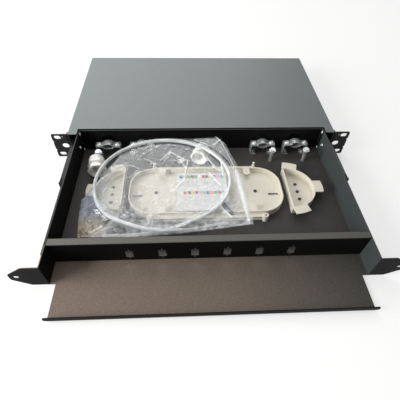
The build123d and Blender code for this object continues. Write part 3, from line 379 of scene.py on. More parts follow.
def plated_steel(name, colours, roughness, cloud, stretch):
    """Zinc-plated or drawn steel: slow tone and gloss changes, drawn out along the piece by stretch."""
    material, tree, place = new_material(name)
    drawn = add_node(tree, "ShaderNodeMapping", {"Vector": place, "Scale": stretch})
    flow = add_node(tree, "ShaderNodeTexNoise",
                    {"Vector": drawn.outputs[0], "Scale": 1 / cloud, "Detail": 4.0})
    edge = add_node(tree, "ShaderNodeBevel", {"Radius": PLATE_EDGE}, samples=EDGE_SAMPLES).outputs[0]
    tone = add_node(tree, "ShaderNodeMapRange",
                    {"Value": flow.outputs[0], "From Min": CLOUD_LOW, "From Max": CLOUD_HIGH})
    colour = add_node(tree, "ShaderNodeMix",
                      {0: tone.outputs[0], 6: srgb(colours[0]), 7: srgb(colours[1])}, data_type="RGBA")
    gloss = add_node(tree, "ShaderNodeMapRange",
                     {"Value": flow.outputs[0], "From Min": GRAIN_LOW, "From Max": GRAIN_HIGH,
                      "To Min": roughness - PLATE_SWING, "To Max": roughness + PLATE_SWING})
    relief = add_node(tree, "ShaderNodeBump",
                      {"Height": flow.outputs[0], "Strength": PLATE_BUMP, "Distance": PLATE_RELIEF,
                       "Normal": edge})
    shader = add_node(tree, "ShaderNodeBsdfPrincipled",
                      {"Base Color": colour.outputs[2], "Metallic": PLATE_METAL,
                       "Roughness": gloss.outputs[0], "Normal": relief.outputs[0]})
    add_node(tree, "ShaderNodeOutputMaterial", {"Surface": shader.outputs[0]})
    return material


def box_of(node):
    """A node's lowest and highest corner, in metres."""
    low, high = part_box(node)
    return np.array(low), np.array(high)


def ends_and_middle(low, high, reach):
    """First, middle and last place of a row of screws, from the box that their heads fill."""
    return low + reach, (low + high) / 2, high - reach


def side_screws(node, radius, grip, rows, levels):
    """Screws in both side walls, heads outward, at the named places of the box that their heads fill."""
    low, high = box_of(node)
    ends = ends_and_middle(low, high, radius * HEAD_SPREAD)
    wall = high[0] - radius * HEAD_RISE
    return [cross_screw((side * wall, ends[row][1], ends[level][2]), (side, 0, 0), radius, grip)
            for side in SIDES for row in rows for level in levels]


# Bright zinc: pale grey with soft clouds, and glints on the domed heads
zinc = plated_steel("bright_zinc_plate", ZINC_COLOURS, 0.28, ZINC_CLOUD, EVEN)
ear_screws = side_screws("ear_screws", M4, EAR_GRIP, (FIRST, LAST), (FIRST, LAST))
make_piece("ear_cross_screws", ear_screws, zinc, "housing", "ear_screws")
cover_screws = side_screws("cover_screws", M3, COVER_GRIP, (FIRST, MIDDLE, LAST), (MIDDLE,))
make_piece("cover_cross_screws", cover_screws, zinc, "housing", "cover_screws")

# Ball slides: cold-rolled steel rails, black passivated and dulled by drawing, that run on hard bright
# balls in thin pressed cages. A black rubber bumper sits on each middle rail's nose, and cross-head
# screws hold the outer rails to the housing and the inner rails to the drawer.
RAIL_COLOURS = ("#2b2c2e", "#3c3d3f")
RAIL_DRAW = 3 * MM
RAIL_STRETCH = (1.0, 0.03, 1.0)
CAGE_STRETCH = (1.0, 0.1, 1.0)
RAIL_GRIP = 2.4 * MM         # the screws go through one wall and one rail
BALL_COLOURS = ("#cfd2d4", "#eceeef")
CAGE_COLOURS = ("#9c9c98", "#b5b5b0")
BUMPER_COLOURS = ("#161617", "#1f1f20", "#303031", "#161617")

# Rails with dark streaks along their draw, mirror-like balls, dull grey cages and matt black rubber
rail_steel = plated_steel("black_drawn_rail", RAIL_COLOURS, 0.36, RAIL_DRAW, RAIL_STRETCH)
ball_steel = plated_steel("ground_ball_steel", BALL_COLOURS, 0.12, ZINC_CLOUD, EVEN)
cage_strip = plated_steel("pressed_cage_strip", CAGE_COLOURS, 0.4, RAIL_DRAW, CAGE_STRETCH)
# Its own colours also serve as its painted sheen, edge highlight and side light, all nearly black
rubber = powder_coat("black_bumper_rubber", BUMPER_COLOURS, BUMPER_COLOURS, 0.62, 0.4)
for hand in ("left", "right"):
    dress(rail_steel, hand + "_outer_rail", hand + "_middle_rail", hand + "_inner_rail")
    dress(cage_strip, hand + "_outer_cage", hand + "_inner_cage")
    dress(ball_steel, hand + "_outer_balls", hand + "_inner_balls")
    dress(rubber, hand + "_rail_bumper")
outer_screws = side_screws("outer_rail_screws", M4, RAIL_GRIP, (FIRST, LAST), (MIDDLE,))
make_piece("outer_rail_cross_screws", outer_screws, zinc, "housing", "outer_rail_screws")
low, high = box_of("inner_rail_screws")
ends = ends_and_middle(low, high, M3 * HEAD_SPREAD)
inner_screws = [cross_screw((side * (high[0] - RAIL_GRIP), ends[row][1], ends[MIDDLE][2]),
                            (-side, 0, 0), M3, RAIL_GRIP)
                for side in SIDES for row in (FIRST, LAST)]
make_piece("inner_rail_cross_screws", inner_screws, zinc, "drawer", "inner_rail_screws")

# Drawer: one folded sheet with pointed ears and a front shelf whose lip turns up, and two riveted
# panels, the adapter panel with its six openings and the rear panel with its cable entries.
# Two tones, edge line of wear and painted highlight, and painted light from the left on the right wall's
# inner face
DRAWER_COLOURS = ("#101010", "#151515", "#7a7a78", "#464b4b")
DRAWER_SHEEN = ("#595754", "#8b7d71", "#5c5d5a")
PANEL_SHEEN = ("#7d7c77",) * 3

# The same black coat, with a painted sheen on the floor, a brownish painted sheen on the shelf, and painted
# light from the left that makes its right wall grey
dress(powder_coat("drawer_powder_coat", DRAWER_COLOURS, DRAWER_SHEEN, 0.5, 0.06), "drawer_tray")
dress(powder_coat("panel_powder_coat", COAT_COLOURS, PANEL_SHEEN, 0.5, 0.04), "adapter_panel", "rear_panel")
dress(zinc, "panel_rivets", "rear_panel_rivets")

# Cable clamps and anchor posts behind the trays: zinc-plated strip bent into saddle and strap, with
# cross-head screws, and turned posts that are bolted to the floor for the cables' strength members.
CLAMPS = 4
M2 = 1.0 * MM
CLAMP_ROWS = {"clamp_screws": M4, "clamp_foot_screws": M2}
CLAMP_REACH = 14.5 * MM      # from the clamp's middle to either screw

for number in range(1, CLAMPS + 1):
    dress(zinc, "clamp_base_%d" % number, "clamp_strap_%d" % number)
dress(zinc, "strength_posts", "post_bolts")
mounts = frame["record"]["mounts"]
entries = [mount["pos_m"][0] for mount in mounts if mount["name"].startswith("cable_entry")]
for node, radius in CLAMP_ROWS.items():
    low, high = box_of(node)
    seat = high[2] - radius * HEAD_RISE
    heads = [cross_screw((x + side * CLAMP_REACH, (low[1] + high[1]) / 2, seat), (0, 0, 1),
                         radius, seat - low[2])
             for x in entries for side in SIDES]
    make_piece(node.replace("screws", "cross_screws"), heads, zinc, "drawer", node)

# Splice trays, comb and fibre guides: injection-moulded ivory ABS, satin, with rounded edges and a
# little light inside the wall. The trays are stacked and screwed down, the guides have three screws.
IVORY_COLOURS = ("#d0cbba", "#d9d5c6", "#5e5a52")   # two tones, painted shade in the recesses
IVORY_CLOUD = 55 * MM
IVORY_EDGE = 0.6 * MM
MOULD_GRAIN = 0.9 * MM
MOULD_RELIEF = 0.03 * MM
MOULD_BUMP = 0.12
MOULD_SWING = 0.05
SHADE_REACH = 3.5 * MM
SHADE_LOW, SHADE_HIGH = 0.55, 0.2    # share of the sky that a recess still sees
SKY_SAMPLES = 8
SCATTER_DEPTH = 1.5 * MM
SCATTER_TINT = (1.0, 0.9, 0.8)
DARK_SCREW_COLOURS = ("#3d3c3b", "#565554")


def moulded_plastic(name, colours, roughness, edge_radius, glow):
    """Moulded plastic: slow tone change, fine spark-eroded grain, rounded edges, light in the wall, and
    painted shade in the narrow recesses that little light reaches."""
    material, tree, place = new_material(name)
    flow = add_node(tree, "ShaderNodeTexNoise", {"Vector": place, "Scale": 1 / IVORY_CLOUD, "Detail": 2.0})
    grain = add_node(tree, "ShaderNodeTexNoise", {"Vector": place, "Scale": 1 / MOULD_GRAIN, "Detail": 2.0})
    edge = add_node(tree, "ShaderNodeBevel", {"Radius": edge_radius}, samples=EDGE_SAMPLES).outputs[0]
    tone = add_node(tree, "ShaderNodeMapRange",
                    {"Value": flow.outputs[0], "From Min": CLOUD_LOW, "From Max": CLOUD_HIGH})
    clean = add_node(tree, "ShaderNodeMix",
                     {0: tone.outputs[0], 6: srgb(colours[0]), 7: srgb(colours[1])}, data_type="RGBA")
    # Painted shade: darker where the ambient occlusion finds a narrow recess
    open_sky = add_node(tree, "ShaderNodeAmbientOcclusion", {"Distance": SHADE_REACH}, samples=SKY_SAMPLES)
    recess_shade = add_node(tree, "ShaderNodeMapRange",
                     {"Value": open_sky.outputs["AO"], "From Min": SHADE_LOW, "From Max": SHADE_HIGH})
    colour = add_node(tree, "ShaderNodeMix",
                      {0: recess_shade.outputs[0], 6: clean.outputs[2], 7: srgb(colours[2])}, data_type="RGBA")
    gloss = add_node(tree, "ShaderNodeMapRange",
                     {"Value": grain.outputs[0], "From Min": GRAIN_LOW, "From Max": GRAIN_HIGH,
                      "To Min": roughness - MOULD_SWING, "To Max": roughness + MOULD_SWING})
    relief = add_node(tree, "ShaderNodeBump",
                      {"Height": grain.outputs[0], "Strength": MOULD_BUMP, "Distance": MOULD_RELIEF,
                       "Normal": edge})
    shader = add_node(tree, "ShaderNodeBsdfPrincipled",
                      {"Base Color": colour.outputs[2], "Roughness": gloss.outputs[0],
                       "Subsurface Weight": glow, "Subsurface Scale": SCATTER_DEPTH,
                       "Subsurface Radius": SCATTER_TINT, "Normal": relief.outputs[0]})
    add_node(tree, "ShaderNodeOutputMaterial", {"Surface": shader.outputs[0]})
    return material


def upright_screws(node, radius, columns, rows):
    """Screws with heads up, at the named places of the box that their heads fill."""
    low, high = box_of(node)
    ends = ends_and_middle(low, high, radius * HEAD_SPREAD)
    seat = high[2] - radius * HEAD_RISE
    return [cross_screw((ends[column][0], ends[row][1], seat), (0, 0, 1), radius, seat - low[2])
            for column in columns for row in rows]


# Ivory with a warm glow in its thin walls, and dark grey screws with a dull shine
ivory = moulded_plastic("ivory_abs", IVORY_COLOURS, 0.38, IVORY_EDGE, 0.3)
dress(ivory, "splice_tray_lower", "splice_tray_upper", "splice_comb", "left_fibre_guide", "right_fibre_guide")
dark_screw = plated_steel("black_oxide_screw", DARK_SCREW_COLOURS, 0.35, ZINC_CLOUD, EVEN)
guide_screws = upright_screws("guide_screws", M3, (FIRST, LAST), (FIRST, MIDDLE, LAST))
make_piece("guide_cross_screws", guide_screws, dark_screw, "drawer", "guide_screws")
tray_screws = upright_screws("tray_screws", M3, (FIRST, LAST), (MIDDLE,))
make_piece("tray_cross_screws", tray_screws, dark_screw, "drawer", "tray_screws")

# They lie loose on the drawer floor.
NYLON_COLOURS = ("#edece6", "#f5f4f0", "#c4c2ba")
NYLON_EDGE = 0.4 * MM
GLAND_PLACES = ((-169.0, -41.5, -5.9), (-4.0, -14.7, -5.9))   # in millimetres, as the sizes below
GLAND_HEADINGS = (100.0, 72.0)
GLAND_FLATS = 25.0
GLAND_BORE = 7.0
GLAND_BARREL = 10.8
GLAND_NECK = 7.8
THREAD_ENDS = (-11.5, -2.5)  # along the gland, from its middle
COLLAR_ENDS = (-2.5, 2.5)
NECK_END = 9.5
DOME_ENDS = (2.5, 9.3, 14.5)
DOME_INSIDE = (12.1, 9.6)
DOME_RADII = (12.4, 9.0)
LOCK_NUT_ENDS = (-14.5, -8.5)
THREAD_PITCH = 1.5
THREAD_DEPTH = 0.8
NUT_CHAMFER = 1.9
DOME_RIBS = 18
RIB_DEPTH = 0.7
RIB_SQUARENESS = 3
RIB_RUNOUT = 8
SCREW_FIT = 0.1
THREAD_STEPS = 80
COLLAR_STEPS = 12
NUT_STEPS = 14
GLAND_ROUND = np.linspace(0, 2 * np.pi, 144, endpoint=False)


def laid_down(radius, height, place, heading):
    """Grid of a turned shape, radius at height and angle, laid down and turned to its heading."""
    across, up = radius * np.cos(GLAND_ROUND), radius * np.sin(GLAND_ROUND)
    ahead = np.broadcast_to(height, radius.shape)
    c, s = np.cos(np.radians(heading)), np.sin(np.radians(heading))
    grid = np.stack([c * ahead - s * up, s * ahead + c * up, -across], axis=-1)
    return (np.array(place) + grid) * MM, True, True


def hexagon(height, low, high):
    """Hexagon of flats/2 over the cosine of the angle from a flat's middle, cut by a cone at each end."""
    flat = GLAND_FLATS / 2 / np.cos((GLAND_ROUND + np.pi / 6) % (np.pi / 3) - np.pi / 6)
    cone = GLAND_FLATS / 2 + NUT_CHAMFER * np.minimum(height - low, high - height)
    return np.minimum(flat, cone)


def ring(radius, height):
    """One plain circle of a turned shape."""
    return np.full((1, GLAND_ROUND.size), radius), np.array([[height]])


def stacked(rings, place, heading):
    """Grid of a turned shape from its rings in order, closed from the last to the first."""
    radius = np.concatenate([r for r, z in rings])
    height = np.concatenate([z for r, z in rings])
    return laid_down(radius, height, place, heading)


def gland_body(place, heading):
    """Loop of rings: bore, helical thread of triangular waves that fades at its ends, hexagon, neck."""
    start, end = THREAD_ENDS
    thread = np.linspace(start, end, THREAD_STEPS)[:, None]
    wave = np.abs((thread / THREAD_PITCH - GLAND_ROUND / (2 * np.pi)) % 1.0 - 0.5) * 2
    fade = np.clip(np.minimum(thread - start, end - thread) / THREAD_DEPTH, 0, 1)
    collar = np.linspace(*COLLAR_ENDS, COLLAR_STEPS)[:, None]
    return stacked([ring(GLAND_BORE, start), (GLAND_BARREL - THREAD_DEPTH * wave * fade, thread),
                    (hexagon(collar, *COLLAR_ENDS), collar), ring(GLAND_NECK, COLLAR_ENDS[1]),
                    ring(GLAND_NECK, NECK_END), ring(GLAND_BORE, NECK_END)], place, heading)


def gland_dome(place, heading):
    """Straight side ribbed by a rounded square wave of the angle, then a quarter-wave dome, then inside."""
    share = np.linspace(0, 1, NUT_STEPS)[:, None]
    grip = np.clip(np.cos(DOME_RIBS * GLAND_ROUND) * RIB_SQUARENESS, -1, 1) / 2 - 0.5
    runout = np.clip(np.minimum(share, 1 - share) * RIB_RUNOUT, 0, 1)
    side = DOME_RADII[0] + RIB_DEPTH * grip * runout
    side_end, dome_end = DOME_ENDS[1:]
    bulge = share * np.pi / 2
    cap = DOME_RADII[1] + (DOME_RADII[0] - DOME_RADII[1]) * np.cos(bulge) ** 0.8 + 0 * GLAND_ROUND
    socket = GLAND_NECK + SCREW_FIT
    return stacked([(side, DOME_ENDS[0] + (side_end - DOME_ENDS[0]) * share),
                    (cap, side_end + (dome_end - side_end) * np.sin(bulge)),
                    ring(GLAND_BORE, dome_end), ring(GLAND_BORE, DOME_INSIDE[0]),
                    ring(socket, DOME_INSIDE[1]), ring(socket, DOME_ENDS[0])], place, heading)


def gland_nut(place, heading):
    """Hexagon with both ends chamfered, round a plain bore."""
    height = np.linspace(*LOCK_NUT_ENDS, NUT_STEPS)[:, None]
    bore = GLAND_BARREL + SCREW_FIT
    return stacked([(hexagon(height, *LOCK_NUT_ENDS), height), ring(bore, LOCK_NUT_ENDS[1]),
                    ring(bore, LOCK_NUT_ENDS[0])], place, heading)


# White nylon, a little translucent, with a soft shine and painted shade in the depth of its thread
nylon = moulded_plastic("white_nylon", NYLON_COLOURS, 0.34, NYLON_EDGE, 0.2)
gland_shapes = {"gland_bodies": gland_body, "gland_dome_nuts": gland_dome, "gland_lock_nuts": gland_nut}
for node, shape in gland_shapes.items():
    pair = [shape(place, heading) for place, heading in zip(GLAND_PLACES, GLAND_HEADINGS)]
    make_piece(node.replace("gland", "nylon_gland"), pair, nylon, "drawer", node)

# Label card lying on the upper tray: white printed board with two rows of coloured patches, in the
# common order of fibre colours, and pale columns under each row. Nothing is written on it.
CARD_WHITE = "#dededd"
CARD_GRAIN = 2.5 * MM
CARD_RELIEF = 0.05 * MM
CARD_BUMP = 0.1
CARD_STEPS = 40
CARD_CURL = 0.5 * MM         # at the middle of each edge
CARD_LIFT = 0.15 * MM
CARD_SHEET = 0.3 * MM
CARD_MARGIN = 4 * MM
FIBRE_COLOURS = ("#3f6fa8", "#d98a4e", "#4f9468", "#7a4f3c", "#8b8d90", "#e9e9e6",
                 "#bf4f4c", "#3a3738", "#dcc94f", "#8a6aa3", "#d995a4", "#5fa9a8")
PATCHES = len(FIBRE_COLOURS)
PATCH_SPAN = 0.44            # half the printed width, as a share of a patch's place
PATCH_HALF = 3.0 * MM
COLUMN_HALF = 9.0 * MM
COLUMN_TINT = 0.18
ROW_PLACES = (0.92, 0.47)    # shares of the card's depth, from the front
ROW_OFFSET = 0.4167          # the second row starts five colours later

# Height of the sheet: the fifth power of the place across and along lifts its edges
low, high = box_of("label_card")
card_steps = np.linspace(0, 1, CARD_STEPS)
v, u = np.meshgrid(card_steps, card_steps, indexing="ij")
curl = CARD_CURL * (np.abs(2 * u - 1) ** 5 + np.abs(2 * v - 1) ** 5)
card_top = np.stack([low[0] + (high[0] - low[0]) * u, low[1] + (high[1] - low[1]) * v,
                     low[2] + CARD_LIFT + curl], axis=-1)
card_base = card_top[:, ::-1] - np.array([0, 0, CARD_SHEET])
card_loop = np.concatenate([card_top, card_base], axis=1)

# Uncoated board: matt white with a faint paper grain, and flat ink in hard-edged patches
board, tree, place = new_material("printed_white_board")
axes = add_node(tree, "ShaderNodeSeparateXYZ", {0: place}).outputs
share = add_node(tree, "ShaderNodeMapRange",
                 {"Value": axes[0], "From Min": low[0] + CARD_MARGIN, "From Max": high[0] - CARD_MARGIN})
rows = [low[1] + (high[1] - low[1]) * row_place for row_place in ROW_PLACES]
first_row_end = rows[0] - 2 * COLUMN_HALF - PATCH_HALF
lower = add_node(tree, "ShaderNodeMath", {0: axes[1], 1: first_row_end}, operation="LESS_THAN")
shifted = add_node(tree, "ShaderNodeMath",
                   {0: lower.outputs[0], 1: ROW_OFFSET, 2: share.outputs[0]}, operation="MULTIPLY_ADD")
order = add_node(tree, "ShaderNodeMath", {0: shifted.outputs[0]}, operation="FRACT")
ink = add_node(tree, "ShaderNodeValToRGB", {0: order.outputs[0]})
ink.color_ramp.interpolation = "CONSTANT"
stops = ink.color_ramp.elements
for number, code in enumerate(FIBRE_COLOURS):
    stop = stops[number] if number < 2 else stops.new(number / PATCHES)
    stop.position = number / PATCHES
    stop.color = srgb(code)
cells = add_node(tree, "ShaderNodeMath", {0: share.outputs[0], 1: float(PATCHES)}, operation="MULTIPLY")
cell = add_node(tree, "ShaderNodeMath", {0: cells.outputs[0]}, operation="FRACT")
column = add_node(tree, "ShaderNodeMath", {0: cell.outputs[0], 1: 0.5, 2: PATCH_SPAN}, operation="COMPARE")
weight = 0.0
for row in rows:
    column_place = row - COLUMN_HALF - PATCH_HALF
    patch = add_node(tree, "ShaderNodeMath", {0: axes[1], 1: row, 2: PATCH_HALF}, operation="COMPARE")
    tint = add_node(tree, "ShaderNodeMath",
                    {0: axes[1], 1: column_place, 2: COLUMN_HALF}, operation="COMPARE")
    pale = add_node(tree, "ShaderNodeMath",
                    {0: tint.outputs[0], 1: COLUMN_TINT, 2: patch.outputs[0]}, operation="MULTIPLY_ADD")
    weight = add_node(tree, "ShaderNodeMath", {0: pale.outputs[0], 1: weight}, operation="ADD").outputs[0]
printed = add_node(tree, "ShaderNodeMath", {0: weight, 1: column.outputs[0]}, operation="MULTIPLY")
fibre = add_node(tree, "ShaderNodeTexNoise", {"Vector": place, "Scale": 1 / CARD_GRAIN, "Detail": 3.0})
colour = add_node(tree, "ShaderNodeMix",
                  {0: printed.outputs[0], 6: srgb(CARD_WHITE), 7: ink.outputs[0]}, data_type="RGBA")
relief = add_node(tree, "ShaderNodeBump",
                  {"Height": fibre.outputs[0], "Strength": CARD_BUMP, "Distance": CARD_RELIEF})
shader = add_node(tree, "ShaderNodeBsdfPrincipled",
                  {"Base Color": colour.outputs[2], "Roughness": 0.55, "Normal": relief.outputs[0]})
add_node(tree, "ShaderNodeOutputMaterial", {"Surface": shader.outputs[0]})
make_piece("printed_label_card", [(card_loop, False, True)], board, "drawer", "label_card")

# Small clip lying loose on the card: moulded nylon with rounded ends, dyed black all through,
# so that it shows a soft shine on its edges and no glow.
# Third colour: the painted shade in its recesses
CLIP_COLOURS = ("#232426", "#2e2f31", "#151516")
CLIP_EDGE = 0.6 * MM
dress(moulded_plastic("black_nylon_clip", CLIP_COLOURS, 0.4, CLIP_EDGE, 0.0), "kit_clip")

# Spare tube: one loose turn of translucent polyethylene tube, 5 mm thick. It leans on the left guide
# in front and on the middle gland behind; its two bare ends cross in front and lie on the floor.
TUBE_COLOURS = ("#e2e6e7", "#f4f6f6")
TUBE_CLOUD = 12 * MM
TUBE_GLOSS = (0.14, 0.26)
TUBE_MILK = (0.5, 0.75)      # least and most share of milky plastic in the wall
TUBE_INDEX = 1.5
TUBE_DIAMETER = 5.0          # in millimetres, as the places on its route below
TUBE_ROUND = 5
TUBE_STEPS = 8
LOOP_CENTRE = (-60.0, -88.0)
LOOP_AXES = (100.0, 84.0)
LOOP_HEIGHT = 1.17           # of the plane under the tube, at the loop's middle
LOOP_LEAN = 0.0975
LOOP_ANGLES = (-70, 0, 90, 180, 210, 250, 290)
LOOP_SHARES = (0.93, 0.965, 1.0, 1.03, 1.07, 1.02, 1.0)
LOOP_ENDS = (-68, 210)       # angles where the loose ends join the loop
LOOP_POINTS = 22
LEFT_END = ((-145.0, -172.4, -15.6), (-124.0, -172.9, -15.6), (-104.0, -172.6, -15.6),
            (-84.0, -170.2, -15.6), (-67.0, -167.2, -14.8), (-49.0, -165.8, -10.4))
RIGHT_END = ((-139.0, -148.8, -2.2), (-123.0, -156.3, -3.0), (-106.0, -163.6, -3.8), (-86.0, -170.6, -4.4),
             (-66.0, -173.6, -4.8), (-46.0, -172.6, -7.0), (-24.0, -167.4, -12.4), (-6.0, -161.4, -15.6),
             (10.0, -157.4, -15.6), (28.0, -154.2, -15.6))


def loop_share(angle):
    """Radius of the loose loop as a share of its ellipse, at an angle in degrees."""
    start = LOOP_ANGLES[0]
    return np.interp((angle - start) % 360 + start, LOOP_ANGLES, LOOP_SHARES)


def loop_plane(y):
    """Height of the leaning plane that the tube lies on."""
    return LOOP_HEIGHT + LOOP_LEAN * (y - LOOP_CENTRE[1])


angle = np.linspace(*LOOP_ENDS, LOOP_POINTS)
loop_x = LOOP_CENTRE[0] + LOOP_AXES[0] * loop_share(angle) * np.cos(np.radians(angle))
loop_y = LOOP_CENTRE[1] + LOOP_AXES[1] * loop_share(angle) * np.sin(np.radians(angle))
loop = np.stack([loop_x, loop_y, loop_plane(loop_y) + TUBE_DIAMETER / 2], axis=1)
route = np.concatenate([LEFT_END, loop, RIGHT_END]) * MM
tube_curve = bpy.data.curves.new("spare_tube", "CURVE")
tube_curve.dimensions = "3D"
tube_curve.bevel_depth = TUBE_DIAMETER / 2 * MM
tube_curve.bevel_resolution = TUBE_ROUND
tube_curve.use_fill_caps = True
spline = tube_curve.splines.new("NURBS")
spline.points.add(len(route) - 1)
for point, spot in zip(spline.points, route):
    point.co = (*spot, 1.0)
spline.order_u = 3
spline.use_endpoint_u = True
spline.resolution_u = TUBE_STEPS
tube = bpy.data.objects.new("spare_tube", tube_curve)
bpy.context.collection.objects.link(tube)

# Milky tube: part of the light goes straight through it, and its round back carries a soft highlight
polyethylene, tree, place = new_material("translucent_polyethylene")
flow = add_node(tree, "ShaderNodeTexNoise", {"Vector": place, "Scale": 1 / TUBE_CLOUD, "Detail": 3.0})
tone = add_node(tree, "ShaderNodeMapRange",
                {"Value": flow.outputs[0], "From Min": CLOUD_LOW, "From Max": CLOUD_HIGH})
colour = add_node(tree, "ShaderNodeMix",
                  {0: tone.outputs[0], 6: srgb(TUBE_COLOURS[0]), 7: srgb(TUBE_COLOURS[1])}, data_type="RGBA")
gloss = add_node(tree, "ShaderNodeMapRange",
                 {"Value": flow.outputs[0], "To Min": TUBE_GLOSS[0], "To Max": TUBE_GLOSS[1]})
milky = add_node(tree, "ShaderNodeMapRange",
                 {"Value": flow.outputs[0], "To Min": TUBE_MILK[0], "To Max": TUBE_MILK[1]})
passed = add_node(tree, "ShaderNodeBsdfTransparent")
mirror = add_node(tree, "ShaderNodeBsdfGlossy", {"Roughness": gloss.outputs[0]})
facing = add_node(tree, "ShaderNodeFresnel", {"IOR": TUBE_INDEX})
clear = add_node(tree, "ShaderNodeMixShader",
                 {0: facing.outputs[0], 1: passed.outputs[0], 2: mirror.outputs[0]})
milk = add_node(tree, "ShaderNodeBsdfPrincipled",
                {"Base Color": colour.outputs[2], "Roughness": gloss.outputs[0]})
both = add_node(tree, "ShaderNodeMixShader", {0: milky.outputs[0], 1: clear.outputs[0], 2: milk.outputs[0]})
add_node(tree, "ShaderNodeOutputMaterial", {"Surface": both.outputs[0]})
tube_curve.materials.append(polyethylene)
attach(tube, "drawer")
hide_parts("kit_tube_coil", "kit_tube_end_left", "kit_tube_end_right")

# Kit bag: two clear polyethylene films welded along the sides and the rear, open in front, that sag
# between what they lie over. The film is limp, so it is full of creases, with a white highlight painted along
# its sharp folds and its right weld.
BAG_FILM = 0.12              # in millimetres, as the sizes below
BAG_Y = (-96.0, 95.0)        # from the loop's middle, as the other places of outline and folds
BAG_LEFT = ((-96, -115), (-56, -118), (-20, -119), (14, -105.5), (32, -97.7), (52, -91), (95, -59))
BAG_FRONT = ((-116, -92), (-41, -94), (29, -89), (93, -81), (122, -77))
BAG_REAR = ((-91, 58), (-74, 70), (-57, 79), (-37, 86), (-10, 91), (30, 91), (60, 92), (88, 95))
BAG_RIGHT = ((-96, 121), (-84, 122), (20, 112), (80, 94), (95, 84))
UPPER_STEPS = (190, 210)
LOWER_STEPS = (40, 40)
WELD_INSET = 5.0             # the weld runs inside the film's edge
WELD_HALF = 1.1
FOLD_HALF = 1.9
FOLD_TAPER = (0.4, 0.6)      # share of the width that every fold has, and that grows with its height
FOLD_RISE = 1.3
# Both ends of each sharp fold, and its share of the full height
FOLDS = ((4.9, 58.3, 32.5, 38.8, 0.8), (-5.7, 42.1, 6.9, 59.5, 0.8), (22.7, 41.7, 29.3, 24.5, 0.8),
         (65.5, 13.7, 81.1, -9.9, 1.0), (77.4, -47.8, 92.7, -66.4, 1.0), (27.9, 0.8, 33.4, 37.5, 0.8),
         (74.1, 72.7, 87.4, 85.4, 0.8), (64.3, 43.7, 77.6, 19.9, 0.8), (84.6, 35.2, 86.3, 8.4, 0.8),
         (-99.0, -86.0, -84.0, -77.0, 0.7), (-94.0, -89.0, -78.0, -79.0, 0.6),
         (-88.0, -74.0, -80.0, -88.0, 0.6), (-104.0, -80.0, -95.0, -72.0, 0.5),
         (-112.0, -40.0, -107.0, -62.0, 0.45), (-114.0, -12.0, -108.0, 4.0, 0.5),
         (-70.0, -72.0, -62.0, -64.0, 0.6), (-108.0, -64.0, -100.0, -88.0, 0.5))
CRINKLES = 210               # short soft folds, scattered over the film
CRINKLE_SEED = 11
CRINKLE_X = (1.5, 228, -118)     # crowding power, spread and start
CRINKLE_Y = (1.2, 174, -92)
CRINKLE_LENGTHS = (6.0, 26.0)
CRINKLE_SHARES = (0.2, 0.6)  # of a sharp fold's height and painted highlight
# Waves per millimetre across and along, phase and height of each crease, then what bends them:
# swing, waves across and along, and how far the phase shifts it
CREASES = ((0.21, 0.05, 1.3, 0.27), (0.06, 0.19, 4.1, 0.24), (-0.15, 0.13, 2.2, 0.3),
           (0.11, 0.24, 0.6, 0.15), (0.31, -0.09, 5.2, 0.15), (0.02, 0.42, 3.3, 0.105),
           (0.47, 0.12, 1.9, 0.09))
CREASE_WARPS = ((1.1, 0.05, -0.04, 1.0), (0.6, 0.0, 0.13, 2.0))
CREASE_BAND = 0.22
TUBE_RISE = 5.7              # of the film, over the tube
TUBE_TENT = 8.0              # from the tube to where the film comes down
LOOP_MEAN = 92               # mean radius of the loop
FLAT_LEVEL = 1.0             # of the film outside the loop
INNER_LEVEL = 1.2            # more inside it
LEVEL_SLOPE = 25             # how sharply the level changes at the tube
SIDE_PULL = 24               # powers that draw the film down at its welds
REAR_PULL = 100
UPPER_LIFT = 0.05
LOWER_LIFT = -0.1


def bag_grid(rows, columns):
    """Places across the film, by shares between its outlines, with those shares."""
    v, u = np.meshgrid(np.linspace(0, 1, rows), np.linspace(0, 1, columns), indexing="ij")
    y = BAG_Y[0] + (BAG_Y[1] - BAG_Y[0]) * v
    left = np.interp(y, *zip(*BAG_LEFT))
    right = np.interp(y, *zip(*BAG_RIGHT))
    x = left + (right - left) * u
    front, rear = np.interp(x, *zip(*BAG_FRONT)), np.interp(x, *zip(*BAG_REAR))
    return x, front + (rear - front) * v, u, v


def crinkles():
    """Ends and shares of the scattered folds, the same in every run: denser to the left and the front,
    at any angle, and mostly short."""
    spread = np.random.default_rng(CRINKLE_SEED).random((CRINKLES, 5))
    x = spread[:, 0] ** CRINKLE_X[0] * CRINKLE_X[1] + CRINKLE_X[2]
    y = spread[:, 1] ** CRINKLE_Y[0] * CRINKLE_Y[1] + CRINKLE_Y[2]
    reach = CRINKLE_LENGTHS[0] + (CRINKLE_LENGTHS[1] - CRINKLE_LENGTHS[0]) * spread[:, 2] ** 2
    way = spread[:, 3] * np.pi
    share = CRINKLE_SHARES[0] + (CRINKLE_SHARES[1] - CRINKLE_SHARES[0]) * spread[:, 4]
    return np.stack([x, y, x + reach * np.cos(way), y + reach * np.sin(way), share], axis=1)


def fold_share(x, y):
    """1 on a fold or the right weld, falling straight to 0 at its half width: a tent over each line."""
    share = np.clip(1 - np.abs(np.interp(y, *zip(*BAG_RIGHT)) - WELD_INSET - x) / WELD_HALF, 0, 1)
    for x0, y0, x1, y1, height in np.concatenate([np.array(FOLDS), crinkles()]):
        run = (x1 - x0) ** 2 + (y1 - y0) ** 2
        along = np.clip(((x - x0) * (x1 - x0) + (y - y0) * (y1 - y0)) / run, 0, 1)
        off = np.hypot(x - x0 - along * (x1 - x0), y - y0 - along * (y1 - y0))
        half = FOLD_HALF * (FOLD_TAPER[0] + FOLD_TAPER[1] * height)
        share = np.maximum(share, height * np.clip(1 - off / half, 0, 1))
    return share


def laid(x, y, height):
    """Grid of a film at a height over the leaning plane."""
    plane = LOOP_HEIGHT + LOOP_LEAN * y
    grid = np.stack([x + LOOP_CENTRE[0], y + LOOP_CENTRE[1], plane + height], axis=-1)
    return grid * MM, False, False


